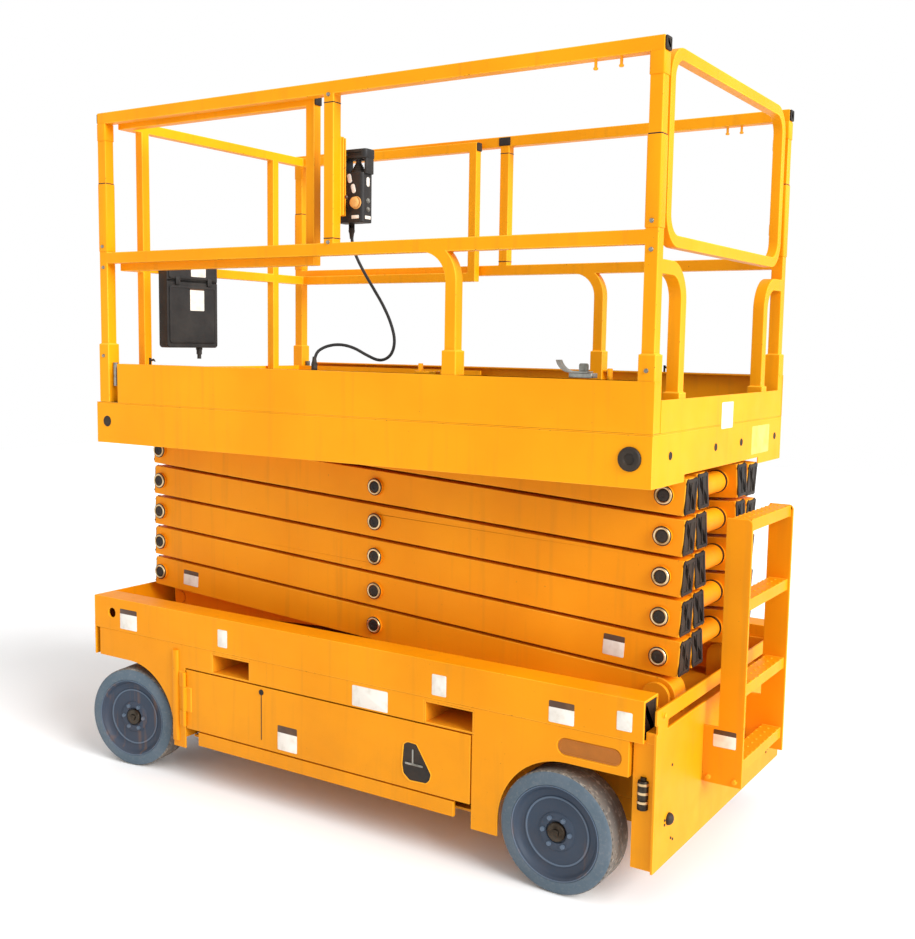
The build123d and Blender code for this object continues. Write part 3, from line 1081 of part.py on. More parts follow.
with BuildPart() as toe_boards:
    for side in SIDES:
        with BuildSketch(end_plane(TOE_LEFT_X)):
            with Locations((side * (DECK_HALF_WIDTH - PANEL_THICK / 2), (TOE_BOTTOM_Z + TOE_TOP_Z) / 2)):
                Rectangle(PANEL_THICK, TOE_TOP_Z - TOE_BOTTOM_Z)
            with Locations((side * (DECK_HALF_WIDTH - TOE_LIP / 2), TOE_TOP_Z - PANEL_THICK / 2)):
                Rectangle(TOE_LIP, PANEL_THICK)
        extrude(amount=TOE_LENGTH)
    with BuildSketch(end_plane(DECK_RIGHT_X)):
        with Locations((0, (TOE_BOTTOM_Z + END_TOE_TOP_Z) / 2)):
            Rectangle(2 * RAIL_Y - NOTCH, END_TOE_TOP_Z - TOE_BOTTOM_Z)
    extrude(amount=-PANEL_THICK)
    # notches for the posts' sleeves
    with BuildSketch(Plane.XY.offset(TOE_BOTTOM_Z)):
        for side, hoop_x in zip(SIDES, HOOP_XS):
            with Locations((hoop_x, side * RAIL_Y)):
                Rectangle(NOTCH, NOTCH)
            with Locations((POST_XS[-1], side * RAIL_Y), (POST_XS[-1], side * END_HOOP_Y)):
                Rectangle(NOTCH, NOTCH)
    extrude(amount=TOE_TOP_Z - TOE_BOTTOM_Z, mode=Mode.SUBTRACT)
save(toe_boards.part, "toe_boards")

# ---------------------------------------------------------------- guard rails
POST_BOTTOM_Z = FLOOR_TOP_Z + RUN_GAP
HOOP_REACH = 260.0           # of the hoop's top along the side

BOX_OUT_Y = BOX_Y - BOX_SIZE[1] / 2
BRACKET_PLATE = 6.0
BRACKET_SEAT = 0.5           # how far the plate bites into the post
BRACKET_WIDTH = TUBE + 20.0
BRACKET_BOTTOM_Z = BOX_BOTTOM_Z + 20.0
BRACKET_TOP_Z = 2300.0
POST_FACE_Y = -(RAIL_Y - TUBE / 2)
BOX_SEAT_Y = BOX_OUT_Y - RUN_GAP

GATE_OUT_Y = GATE_HALF + GATE_TUBE / 2
GATE_HINGE_ZS = ((2020.0, 2032.0), (2033.0, 2073.0), (2322.0, 2362.0), (2363.0, 2375.0))
GATE_BARREL_R = 8.0
GATE_PIN_R = 4.0
STRAP = 16.0

for side, name, hoop_x in zip(SIDES, ("near", "far"), HOOP_XS):
    posts = (
        (POST_XS[0], POST_BOTTOM_Z),
        (POST_XS[1], MID_RAIL_Z),
        (POST_XS[2], POST_BOTTOM_Z),
    )
    with BuildPart() as guard_rail:
        # top and middle rails
        for rail_z in (TOP_RAIL_Z, MID_RAIL_Z):
            with BuildSketch(end_plane(POST_XS[0] - TUBE / 2)):
                with Locations((side * RAIL_Y, rail_z)):
                    Rectangle(TUBE, TUBE)
            extrude(amount=POST_XS[-1] - POST_XS[0] + TUBE)
        # corner posts, and a short post between the rails
        for post_x, bottom_z in posts:
            with BuildSketch(Plane.XY.offset(bottom_z)):
                with Locations((post_x, side * RAIL_Y)):
                    Rectangle(TUBE, TUBE)
            extrude(amount=TOP_RAIL_Z - bottom_z)
        # hoop from the deck into the middle rail
        with BuildLine():
            FilletPolyline(
                (hoop_x, side * RAIL_Y, POST_BOTTOM_Z),
                (hoop_x, side * RAIL_Y, MID_RAIL_Z),
                (hoop_x - HOOP_REACH, side * RAIL_Y, MID_RAIL_Z),
                radius=HOOP_BEND_R,
            )
        with BuildSketch(Plane.XY.offset(POST_BOTTOM_Z)):
            with Locations((hoop_x, side * RAIL_Y)):
                Rectangle(TUBE, TUBE)
        sweep()
        # hoop across the ladder end, beside the gateway
        with BuildLine():
            FilletPolyline(
                (POST_XS[-1], side * END_HOOP_Y, POST_BOTTOM_Z),
                (POST_XS[-1], side * END_HOOP_Y, END_HOOP_TOP_Z),
                (POST_XS[-1], side * RAIL_Y, END_HOOP_TOP_Z),
                radius=END_BEND_R,
            )
        with BuildSketch(Plane.XY.offset(POST_BOTTOM_Z)):
            with Locations((POST_XS[-1], side * END_HOOP_Y)):
                Rectangle(TUBE, TUBE)
        sweep()
        # sleeves the posts stand in
        with BuildSketch(Plane.XY.offset(POST_BOTTOM_Z)):
            for post_x in (POST_XS[0], hoop_x, POST_XS[-1]):
                with Locations((post_x, side * RAIL_Y)):
                    Rectangle(SLEEVE, SLEEVE)
        extrude(amount=SLEEVE_TOP_Z - POST_BOTTOM_Z)
        with BuildSketch(Plane.XY.offset(POST_BOTTOM_Z)):
            with Locations((POST_XS[-1], side * END_HOOP_Y)):
                Rectangle(SLEEVE, SLEEVE)
        extrude(amount=(SLEEVE_TOP_Z - POST_BOTTOM_Z) / 2)
        if side < 0:
            # plate on the short post, with an arm in to the control box
            with BuildSketch(Plane.XY.offset(BRACKET_BOTTOM_Z)):
                with Locations((POST_XS[1], POST_FACE_Y + BRACKET_PLATE / 2 - BRACKET_SEAT)):
                    Rectangle(BRACKET_WIDTH, BRACKET_PLATE)
                with Locations((POST_XS[1], (POST_FACE_Y + BOX_SEAT_Y) / 2)):
                    Rectangle(BRACKET_PLATE, BOX_SEAT_Y - POST_FACE_Y)
                with Locations((POST_XS[1], BOX_SEAT_Y - BRACKET_PLATE / 2)):
                    Rectangle(TUBE, BRACKET_PLATE)
            extrude(amount=BRACKET_TOP_Z - BRACKET_BOTTOM_Z)
        else:
            # fixed straps and long pin of the gate's hinges
            for bottom_z, top_z in (GATE_HINGE_ZS[0], GATE_HINGE_ZS[3]):
                with BuildSketch(Plane.XY.offset(bottom_z)):
                    with Locations((GATE_HINGE_X + STRAP / 2, (GATE_HINGE_Y + RAIL_Y) / 2)):
                        Rectangle(STRAP, RAIL_Y - GATE_HINGE_Y)
                    with Locations((GATE_HINGE_X, GATE_HINGE_Y)):
                        Circle(GATE_BARREL_R)
                extrude(amount=top_z - bottom_z)
            with BuildSketch(Plane.XY.offset(GATE_HINGE_ZS[0][0])):
                with Locations((GATE_HINGE_X, GATE_HINGE_Y)):
                    Circle(GATE_PIN_R)
            extrude(amount=GATE_HINGE_ZS[3][1] - GATE_HINGE_ZS[0][0])
    save(guard_rail.part, f"guard_rail_{name}")

# ---------------------------------------------------------------- entry gate
GATE_MID_Z = (GATE_TOP_Z + GATE_BOTTOM_Z) / 2
GATE_HEIGHT = GATE_TOP_Z - GATE_BOTTOM_Z

with BuildPart() as gate:
    # closed loop of tube with bent corners
    with BuildSketch(end_plane(GATE_X - GATE_TUBE / 2)):
        with Locations((0, GATE_MID_Z)):
            RectangleRounded(2 * GATE_OUT_Y, GATE_HEIGHT + GATE_TUBE, GATE_BEND_R + GATE_TUBE / 2)
            RectangleRounded(
                2 * GATE_OUT_Y - 2 * GATE_TUBE,
                GATE_HEIGHT - GATE_TUBE,
                GATE_BEND_R - GATE_TUBE / 2,
                mode=Mode.SUBTRACT,
            )
    extrude(amount=GATE_TUBE)
    for bottom_z, top_z in GATE_HINGE_ZS[1:3]:
        with BuildSketch(Plane.XY.offset(bottom_z)):
            with Locations((GATE_HINGE_X, GATE_HINGE_Y)):
                Circle(GATE_BARREL_R)
            with Locations((GATE_HINGE_X + STRAP / 2, GATE_HINGE_Y - STRAP)):
                Rectangle(STRAP, 2 * STRAP)
            with Locations((GATE_HINGE_X, GATE_HINGE_Y)):
                Circle(GATE_PIN_R + PIN_GAP, mode=Mode.SUBTRACT)
        extrude(amount=top_z - bottom_z)
save(gate.part, "gate")

# ---------------------------------------------------------------- sliding deck extension
EXT_LEFT_X = EXT_FRONT_X - EXT_TUBE
EXT_RIGHT_X = EXT_REAR_X + EXT_TUBE
EXT_LENGTH = EXT_RIGHT_X - EXT_LEFT_X
EXT_FLOOR_TOP_Z = EXT_FLOOR_Z + EXT_FLOOR_THICK
PAD = 50.0

with BuildPart() as extension_floor:
    with BuildSketch(Plane.XY.offset(EXT_FLOOR_Z)):
        with Locations(((EXT_LEFT_X + EXT_RIGHT_X) / 2, 0)):
            Rectangle(EXT_LENGTH, 2 * EXT_HALF)
    extrude(amount=EXT_FLOOR_THICK)
    # toe boards along both sides and the front
    with BuildSketch(Plane.XY.offset(EXT_FLOOR_TOP_Z)):
        for side in SIDES:
            with Locations(((EXT_LEFT_X + EXT_RIGHT_X) / 2, side * (EXT_HALF - PANEL_THICK / 2))):
                Rectangle(EXT_LENGTH, PANEL_THICK)
        with Locations((EXT_LEFT_X + PANEL_THICK / 2, 0)):
            Rectangle(PANEL_THICK, 2 * EXT_HALF)
    extrude(amount=EXT_TOE_TOP_Z - EXT_FLOOR_TOP_Z)
    # sliding pads under the rear edge
    with BuildSketch(Plane.XY.offset(FLOOR_TOP_Z + SPINDLE_GAP)):
        for side in SIDES:
            with Locations((EXT_RIGHT_X - PAD / 2, side * SKID_Y)):
                Rectangle(PAD, 2 * SKID_HALF)
    extrude(amount=EXT_FLOOR_Z - FLOOR_TOP_Z - SPINDLE_GAP)
save(extension_floor.part, "extension_floor")

with BuildPart() as extension_rails:
    for rail_z in (EXT_TOP_Z, EXT_MID_Z):
        with BuildSketch(Plane.XY.offset(rail_z - EXT_TUBE / 2)):
            for side in SIDES:
                with Locations(((EXT_FRONT_X + EXT_REAR_X) / 2, side * EXT_RAIL_Y)):
                    Rectangle(EXT_REAR_X - EXT_FRONT_X + EXT_TUBE, EXT_TUBE)
            with Locations((EXT_FRONT_X, 0)):
                Rectangle(EXT_TUBE, 2 * EXT_RAIL_Y)
        extrude(amount=EXT_TUBE)
    # front posts down to the floor, rear posts between the rails
    with BuildSketch(Plane.XY.offset(EXT_FLOOR_TOP_Z + RUN_GAP)):
        with Locations(*[(EXT_FRONT_X, post_y) for post_y in EXT_POST_YS]):
            Rectangle(EXT_TUBE, EXT_TUBE)
    extrude(amount=EXT_TOP_Z - EXT_FLOOR_TOP_Z)
    with BuildSketch(Plane.XY.offset(EXT_MID_Z)):
        for side in SIDES:
            with Locations((EXT_REAR_X, side * EXT_RAIL_Y)):
                Rectangle(EXT_TUBE, EXT_TUBE)
    extrude(amount=EXT_TOP_Z - EXT_MID_Z)
save(extension_rails.part, "extension_rails")

CASE_X = EXT_FRONT_X + EXT_TUBE / 2 + RUN_GAP
CASE_CORNER_R = 14.0

with BuildPart() as document_case:
    with BuildSketch(end_plane(CASE_X)):
        with Locations((CASE_Y, CASE_BOTTOM_Z + CASE_SIZE[2] / 2)):
            RectangleRounded(CASE_SIZE[1], CASE_SIZE[2], CASE_CORNER_R)
    extrude(amount=CASE_SIZE[0])
save(document_case.part, "document_case")

# ---------------------------------------------------------------- platform controls
BOX_CORNER_R = 12.0
STICK_X = BOX_X + 18.0
STALK_R = 9.0
STALK_HEIGHT = 60.0
GRIP_R = 20.0
GRIP_HEIGHT = 34.0
GRIP_BOTTOM_Z = BOX_TOP_Z + 40.0

with BuildPart() as control_box:
    with BuildSketch(Plane.XY.offset(BOX_BOTTOM_Z)):
        with Locations((BOX_X, BOX_Y)):
            RectangleRounded(BOX_SIZE[0], BOX_SIZE[1], BOX_CORNER_R)
    extrude(amount=BOX_SIZE[2])
    # joystick's grip and its stalk
    with BuildSketch(Plane.XY.offset(BOX_TOP_Z)):
        with Locations((STICK_X, BOX_Y)):
            Circle(STALK_R)
    extrude(amount=STALK_HEIGHT)
    with BuildSketch(Plane.XY.offset(GRIP_BOTTOM_Z)):
        with Locations((STICK_X, BOX_Y)):
            Circle(GRIP_R)
    extrude(amount=GRIP_HEIGHT)
save(control_box.part, "control_box")

# ---------------------------------------------------------------- control cable
CABLE_R = 5.0
GLAND_R = 11.0
BOX_GLAND_Z = 2010.0         # where the cable leaves the box's gland
DECK_GLAND_Z = 1562.0        # where it enters the gland on the toe board's lip
CABLE_DROP = 46.0            # straight run out of the box's gland
CABLE_RISE = 38.0            # straight run above the deck's gland
# x, inset from the rail's middle, and z of the cable's corners: a slack loop, then a hump
CABLE_ROUTE = (
    (-57, 88, BOX_GLAND_Z),
    (-57, 88, BOX_GLAND_Z - CABLE_DROP),
    (-31, 86, 1913),
    (5, 83, 1862),
    (45, 79, 1812),
    (84, 76, 1762),
    (118, 74, 1704),
    (137, 72, 1646),
    (124, 69, 1598),
    (81, 66, 1579),
    (30, 61, 1598),
    (-20, 53, 1624),
    (-70, 40, 1634),
    (-113, 17, 1625),
    (-141, -2, DECK_GLAND_Z + CABLE_RISE),
    (-141, -2, DECK_GLAND_Z),
)
CABLE_CORNERS = [(x, inset - RAIL_Y, z) for x, inset, z in CABLE_ROUTE]
CABLE_START = CABLE_CORNERS[0][:2]
CABLE_END = CABLE_CORNERS[-1][:2]
BEND_SHARE = 0.45            # of the shorter run that a bend takes up


def bend_radii(corners):
    """Radius of the tangent arc at each inner corner of a route."""
    radii = []
    for before, corner, after in zip(corners, corners[1:], corners[2:]):
        run_in = Vector(*corner) - Vector(*before)
        run_out = Vector(*after) - Vector(*corner)
        half_turn = math.radians(run_in.get_angle(run_out)) / 2
        radii.append(BEND_SHARE * min(run_in.length, run_out.length) / math.tan(half_turn))
    return radii


cable_radii = bend_radii(CABLE_CORNERS)

with BuildPart() as control_cable:
    with BuildLine() as cable_line:
        FilletPolyline(*CABLE_CORNERS, radius=cable_radii)
    with BuildSketch(Plane(origin=CABLE_CORNERS[0], z_dir=(0, 0, -1))):
        Circle(CABLE_R)
    sweep()
save(control_cable.part, "control_cable")
cable_length = cable_line.wires()[0].length
print("cable length", round(cable_length), "tightest bend", round(min(cable_radii), 1))
print("cable volume share", round(control_cable.part.volume / (math.pi * CABLE_R**2 * cable_length), 4))

with BuildPart() as cable_glands:
    with BuildSketch(Plane.XY.offset(BOX_GLAND_Z)):
        with Locations(CABLE_START):
            Circle(GLAND_R)
    extrude(amount=BOX_BOTTOM_Z - BOX_GLAND_Z - RUN_GAP)
    with BuildSketch(Plane.XY.offset(TOE_TOP_Z + RUN_GAP)):
        with Locations(CABLE_END):
            Circle(GLAND_R)
    extrude(amount=DECK_GLAND_Z - TOE_TOP_Z - RUN_GAP)
save(cable_glands.part, "cable_glands")
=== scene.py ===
"""Finishes and fittings of the scissor lift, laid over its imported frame. Tables are in millimetres."""

import json
import math

import bmesh
import bpy
from mathutils import Matrix, Vector

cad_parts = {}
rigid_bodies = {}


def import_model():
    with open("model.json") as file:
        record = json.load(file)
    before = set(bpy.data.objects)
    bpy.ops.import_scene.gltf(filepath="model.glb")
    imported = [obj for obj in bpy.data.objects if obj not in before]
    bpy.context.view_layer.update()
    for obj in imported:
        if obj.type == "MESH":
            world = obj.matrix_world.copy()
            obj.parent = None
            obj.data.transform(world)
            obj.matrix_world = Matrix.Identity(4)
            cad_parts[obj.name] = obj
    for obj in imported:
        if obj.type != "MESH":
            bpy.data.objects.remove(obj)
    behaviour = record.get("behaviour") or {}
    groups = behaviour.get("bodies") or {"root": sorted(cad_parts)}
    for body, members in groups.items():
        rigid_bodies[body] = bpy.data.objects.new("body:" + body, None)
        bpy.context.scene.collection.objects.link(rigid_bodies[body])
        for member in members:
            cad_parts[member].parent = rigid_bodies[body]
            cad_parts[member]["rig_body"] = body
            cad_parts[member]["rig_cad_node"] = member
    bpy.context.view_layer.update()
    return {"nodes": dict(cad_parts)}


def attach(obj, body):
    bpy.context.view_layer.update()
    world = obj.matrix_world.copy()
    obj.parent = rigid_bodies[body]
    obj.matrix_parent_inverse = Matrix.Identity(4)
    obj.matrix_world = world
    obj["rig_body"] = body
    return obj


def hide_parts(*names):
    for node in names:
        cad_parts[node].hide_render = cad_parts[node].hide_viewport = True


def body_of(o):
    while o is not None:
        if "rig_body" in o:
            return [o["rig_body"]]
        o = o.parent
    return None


bl_info = {
    "name": "Scissor lift finishes",
    "version": (1, 0, 0),
    "blender": (4, 5, 0),
    "location": "View3D > Sidebar > Scissor lift",
    "description": "Builds the enamel, tyres, pins, rails' fittings and controls of a scissor lift",
    "category": "Object",
}

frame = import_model()

NEAR = (0, -1, 0)
FAR = (0, 1, 0)
# the steered wheels are at the front, and the ladder at the rear
FRONT = (-1, 0, 0)
REAR = (1, 0, 0)
UP = (0, 0, 1)
DOWN = (0, 0, -1)
# side of the machine, its name, and the way out
SIDES = ((-1, "near", NEAR), (1, "far", FAR))
# slot and finish of the small black mouldings
NYLON = ("black_plastic", "black_nylon")

# ---- modelling


def at(x, y, z, out=UP, up=None):
    """Place of a fitting: its own z points out of the surface and its y up along it."""
    z_axis = Vector(out).normalized()
    y_axis = Vector(up or ((0, 1, 0) if abs(z_axis.z) > 0.9 else (0, 0, 1)))
    x_axis = y_axis.cross(z_axis).normalized()
    y_axis = z_axis.cross(x_axis)
    turn = Matrix((x_axis, y_axis, z_axis)).transposed().to_4x4()
    return Matrix.Translation(Vector((x, y, z)) / 1000) @ turn


def clear():
    bpy.ops.object.select_all(action="DESELECT")


def only(obj):
    """Selects one object and nothing else."""
    clear()
    obj.select_set(True)
    bpy.context.view_layer.objects.active = obj


def shape(obj, kind="FACE", everything=False):
    """Opens a piece in edit mode."""
    only(obj)
    bpy.ops.object.mode_set(mode="EDIT")
    bpy.ops.mesh.select_mode(type=kind)
    bpy.ops.mesh.select_all(action="SELECT" if everything else "DESELECT")


def close():
    bpy.ops.object.mode_set(mode="OBJECT")


def pick(obj, test, kind="FACE"):
    """Selects, in edit mode, the faces or edges whose middle (mm) and direction pass a test."""
    bpy.ops.mesh.select_mode(type=kind)
    bpy.ops.mesh.select_all(action="DESELECT")
    mesh = bmesh.from_edit_mesh(obj.data)
    mesh.normal_update()
    for item in mesh.faces if kind == "FACE" else mesh.edges:
        if kind == "FACE":
            middle, way = item.calc_center_median(), item.normal
        else:
            start, end = (vertex.co for vertex in item.verts)
            middle, way = (start + end) / 2, (end - start).normalized()
        if test(middle * 1000, way):
            item.select_set(True)
    bmesh.update_edit_mesh(obj.data)


def modify(obj, kind, **settings):
    """Adds a modifier with its settings and applies it."""
    only(obj)
    modifier = obj.modifiers.new(kind.title(), kind)
    for key, value in settings.items():
        setattr(modifier, key, value)
    bpy.ops.object.modifier_apply(modifier=modifier.name)
    return obj


def break_edges(obj, width, sharp=38, **settings):
    """Rounds every sharp edge of a piece."""
    settings.update(width=width / 1000, segments=2, limit_method="ANGLE", angle_limit=math.radians(sharp))
    return modify(obj, "BEVEL", **settings)


def settled():
    """The primitive that was just added, with its place and size in its mesh."""
    bpy.ops.object.transform_apply(location=True, rotation=True, scale=True)
    return bpy.context.object


def by(x, y, z):
    """A step in millimetres for an extrusion."""
    return {"value": (x / 1000, y / 1000, z / 1000)}


def sealed():
    """Merges what meets, turns every face outwards, and closes the piece."""
    bpy.ops.mesh.select_all(action="SELECT")
    bpy.ops.mesh.remove_doubles(threshold=1e-6)
    bpy.ops.mesh.normals_make_consistent(inside=False)
    close()


def block(size, middle=(0, 0, 0), corner=0.0, edge=0.8, steps=4, along=2):
    """A block in millimetres with its four edges along one axis rounded and the rest broken."""
    clear()
    bpy.ops.mesh.primitive_cube_add(size=0.001, location=Vector(middle) / 1000, scale=size)
    obj = settled()
    if corner:
        shape(obj, "EDGE")
        pick(obj, lambda middle, way: abs(way[along]) > 0.99, "EDGE")
        bpy.ops.mesh.bevel(offset=corner / 1000, offset_type="OFFSET", segments=steps, affect="EDGES")
        close()
    return break_edges(obj, edge) if edge else obj


def sink(obj, rim, depth, test=lambda middle, way: way.z > 0.99):
    """Insets the picked faces by a rim and presses them in."""
    shape(obj)
    pick(obj, test)
    bpy.ops.mesh.inset(thickness=rim / 1000, depth=0.0)
    bpy.ops.mesh.inset(thickness=min(rim, depth) / 2000, depth=-depth / 1000)
    close()
    return obj


def turned(profile, steps=32):
    """A piece turned from a profile of (radius, height) points in millimetres about its own z."""
    clear()
    radius, height = profile[0]
    bpy.ops.mesh.primitive_plane_add(size=0.001, location=(radius / 1000, 0, height / 1000))
    obj = settled()
    shape(obj, "VERT", everything=True)
    bpy.ops.mesh.merge(type="CENTER")
    for (r0, h0), (r1, h1) in zip(profile, profile[1:]):
        bpy.ops.mesh.extrude_vertices_move(TRANSFORM_OT_translate=by(r1 - r0, 0, h1 - h0))
    bpy.ops.mesh.select_all(action="SELECT")
    bpy.ops.mesh.spin(steps=steps, angle=math.tau, center=(0, 0, 0), axis=(0, 0, 1))
    sealed()
    return obj


def bent_bar(thick, run, bend, turn, tail):
    """A square bar: a straight run along z, a bend towards x, and a straight tail."""
    clear()
    bpy.ops.mesh.primitive_plane_add(size=thick / 1000)
    obj = bpy.context.object
    shape(obj, "EDGE", everything=True)
    bpy.ops.mesh.delete(type="ONLY_FACE")
    bpy.ops.mesh.select_all(action="SELECT")
    bpy.ops.mesh.extrude_edges_move(TRANSFORM_OT_translate=by(0, 0, run))
    angle = math.radians(turn)
    bpy.ops.mesh.spin(steps=8, angle=angle, center=(bend / 1000, 0, run / 1000), axis=(0, 1, 0))
    ahead = by(math.sin(angle) * tail, 0, math.cos(angle) * tail)
    bpy.ops.mesh.extrude_edges_move(TRANSFORM_OT_translate=ahead)
    bpy.ops.mesh.select_all(action="SELECT")
    bpy.ops.mesh.remove_doubles(threshold=1e-6)
    bpy.ops.mesh.fill_holes(sides=0)
    sealed()
    return break_edges(obj, min(2.0, thick / 5))


def moved(obj, place):
    """Puts a piece at its place, with the place in its mesh."""
    obj.data.transform(place)
    return obj


def mirrored(spots, out=None):
    """Places at spots (x, distance from the middle, z) on both sides, facing outwards or as told."""
    return [at(x, side * y, z, out or (0, side, 0)) for x, y, z in spots for side in (-1, 1)]


def scrap(*patterns):
    for pattern in patterns:
        bpy.data.objects.remove(pattern)


def copied(pattern, places, keep=False):
    """Copies of a piece at several places, each with its own mesh; the pattern goes unless it is kept."""
    copies = []
    for place in places:
        copy = pattern.copy()
        copy.data = pattern.data.copy()
        bpy.context.scene.collection.objects.link(copy)
        copies.append(moved(copy, place))
    if not keep:
        scrap(pattern)
    return copies


def joined(pieces):
    """Joins pieces into one object."""
    clear()
    for piece in pieces:
        piece.select_set(True)
    bpy.context.view_layer.objects.active = pieces[0]
    if len(pieces) > 1:
        bpy.ops.object.join()
    return pieces[0]


def coated(obj, *finishes):
    """Gives a piece its finishes, one for each of its slots."""
    for index, name in enumerate(finishes):
        if index < len(obj.data.materials):
            obj.data.materials[index] = finish(name)
        else:
            obj.data.materials.append(finish(name))
    return obj


def second_finish(obj):
    """Gives the selected faces the piece's second finish, and closes it."""
    obj.active_material_index = 1
    bpy.ops.object.material_slot_assign()
    close()


def repaint(obj, test):
    """Gives the faces that pass a test the piece's second finish."""
    shape(obj)
    pick(obj, test)
    second_finish(obj)


def fitted(pieces, name, body, slot, *finishes, angle=35):
    """Joins and names a piece, finishes it, and fixes it to the body that it moves with."""
    obj = joined(pieces) if isinstance(pieces, list) else pieces
    coated(obj, *finishes)
    obj.name = name
    obj.data.name = name
    only(obj)
    bpy.ops.object.shade_smooth_by_angle(angle=math.radians(angle))
    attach(obj, body)
    return obj


def skin(node, edge, *finishes, cutter=None, slot="yellow_paint"):
    """Copies a frame node as one clean skin, rounds its edges, and stands for the node."""
    source = frame["nodes"][node]
    body = body_of(source)
    body = body[0] if isinstance(body, (list, tuple)) else body
    only(source)
    bpy.ops.object.duplicate()
    obj = bpy.context.object
    bpy.ops.object.parent_clear(type="CLEAR_KEEP_TRANSFORM")
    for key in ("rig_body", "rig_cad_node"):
        if key in obj:
            del obj[key]
    bpy.ops.mesh.customdata_custom_splitnormals_clear()
    shape(obj, "VERT", everything=True)
    bpy.ops.mesh.remove_doubles(threshold=5e-5)
    bpy.ops.mesh.dissolve_limited(angle_limit=math.radians(1.0))
    close()
    coated(obj, *finishes)
    if cutter:
        # the cut faces take the cutter's finish
        modify(obj, "BOOLEAN", operation="DIFFERENCE", object=cutter, solver="EXACT")
        scrap(cutter)
    # the rounded edges take the second finish; for the enamel coats it is lighter, a painted highlight, with
    # more chips for wear
    break_edges(obj, edge, 35, material=min(1, len(finishes) - 1), use_clamp_overlap=False)
    fitted(obj, f"{node}_skin", body, slot, angle=40)
    modify(obj, "WEIGHTED_NORMAL", keep_sharp=True)
    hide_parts(node)
    return obj


# ---- finishes
def linear(hex_colour):
    """An sRGB hex colour as linear values."""
    values = [int(hex_colour[i:i + 2], 16) / 255 for i in (1, 3, 5)]
    return tuple(v / 12.92 if v <= 0.04045 else ((v + 0.055) / 1.055) ** 2.4 for v in values) + (1.0,)


def add(tree, kind, sockets=None, **fields):
    """Adds a node with its settings, and fills or links its sockets."""
    node = tree.nodes.new(f"ShaderNode{kind}")
    for key, value in fields.items():
        setattr(node, key, value)
    for key, value in (sockets or {}).items():
        if isinstance(value, bpy.types.NodeSocket):
            tree.links.new(value, node.inputs[key])
        else:
            node.inputs[key].default_value = value
    return node


def noise(tree, place, scale, detail, roughness=0.5):
    sockets = {"Vector": place, "Scale": scale, "Detail": detail, "Roughness": roughness}
    return add(tree, "TexNoise", sockets).outputs["Fac"]


def stretch(tree, value, low=0.0, high=1.0, to_low=0.0, to_high=1.0):
    """Stretches a value from one range to another, and holds it inside."""
    sockets = {"Value": value, "From Min": low, "From Max": high, "To Min": to_low, "To Max": to_high}
    return add(tree, "MapRange", sockets).outputs[0]


def mixed(tree, mask, first, second):
    """The first colour, with the second over it where the mask is white; hex or from another node."""
    first, second = (linear(c) if isinstance(c, str) else c for c in (first, second))
    return add(tree, "Mix", {0: mask, 6: first, 7: second}, data_type="RGBA").outputs[2]


def reckon(tree, operation, *values):
    return add(tree, "Math", dict(enumerate(values)), operation=operation).outputs[0]


def blank(name):
    """A new finish with no shader yet, and the place on the object."""
    material = bpy.data.materials.new(name)
    material.use_nodes = True
    tree = material.node_tree
    tree.nodes.clear()
    return tree, add(tree, "TexCoord").outputs["Object"]


def shaded(tree, colour, roughness, relief=None, strength=0.0, depth=0.0, **levels):
    """Ends a finish with its shader: colour, roughness, relief (depth in millimetres) and other levels."""
    sockets = {"Base Color": colour, "Roughness": roughness}
    if relief:
        bump = add(tree, "Bump", {"Strength": strength, "Distance": depth / 1000, "Height": relief})
        sockets["Normal"] = bump.outputs[0]
    names = {"ior": "IOR", "specular": "Specular IOR Level", "metallic": "Metallic"}
    sockets.update({names[key]: value for key, value in levels.items()})
    shader = add(tree, "BsdfPrincipled", sockets)
    add(tree, "OutputMaterial", {"Surface": shader.outputs[0]})


def enamel(name, colour, shade, wear, gloss, dust):
    """Two-pack enamel sprayed on steel: satin, with orange peel, faded patches, dust low down, chips."""
    tree, place = blank(name)
    # patches of about 400 mm where the coat is thicker or faded
    patch = stretch(tree, noise(tree, place, 2.5, 3.0), 0.35, 0.65)
    coat = mixed(tree, patch, shade, colour)
    # streaks 30 mm wide and half a metre tall, where rain has run
    tall = add(tree, "Mapping", {"Vector": place, "Scale": (32.0, 32.0, 2.0)}).outputs[0]
    streak = stretch(tree, noise(tree, tall, 1.0, 2.0), 0.56, 0.8, to_high=0.28)
    stained = mixed(tree, streak, coat, "#B97A1E")
    # dust thrown up by the wheels, thick at 100 mm and gone at 600 mm
    height = add(tree, "SeparateXYZ", {0: place}).outputs["Z"]
    low = stretch(tree, height, 0.6, 0.1, to_high=dust)
    cloud = noise(tree, place, 14.0, 5.0)
    dusty = mixed(tree, reckon(tree, "MULTIPLY", low, cloud), stained, "#A4742E")
    # chips 5 mm across, down to the dark primer
    chip = stretch(tree, noise(tree, place, 150.0, 3.0), 0.74 - wear, 0.78 - wear, to_high=0.8)
    chipped = mixed(tree, chip, dusty, "#6B4A22")
    dull = stretch(tree, cloud, to_low=gloss, to_high=gloss + 0.22)
    worn = reckon(tree, "MULTIPLY_ADD", chip, 0.3, dull)
    # orange peel, drawn at 4 mm so that it shows
    relief = reckon(tree, "MULTIPLY_ADD", chip, -1.2, noise(tree, place, 240.0, 1.0))
    shaded(tree, chipped, worn, relief, 0.22, 0.6, ior=1.5, specular=0.14)


def steel(name, colour, stain, rough, grain, metallic=1.0):
    """Bare or plated steel: a grey sheen with dull stains and a fine grain."""
    tree, place = blank(name)
    mask = stretch(tree, noise(tree, place, 22.0, 5.0), 0.42, 0.68)
    dull = stretch(tree, mask, to_low=rough, to_high=rough + 0.25)
    fine = noise(tree, place, grain, 3.0)
    shaded(tree, mixed(tree, mask, colour, stain), dull, fine, 0.2, 0.5, metallic=metallic)


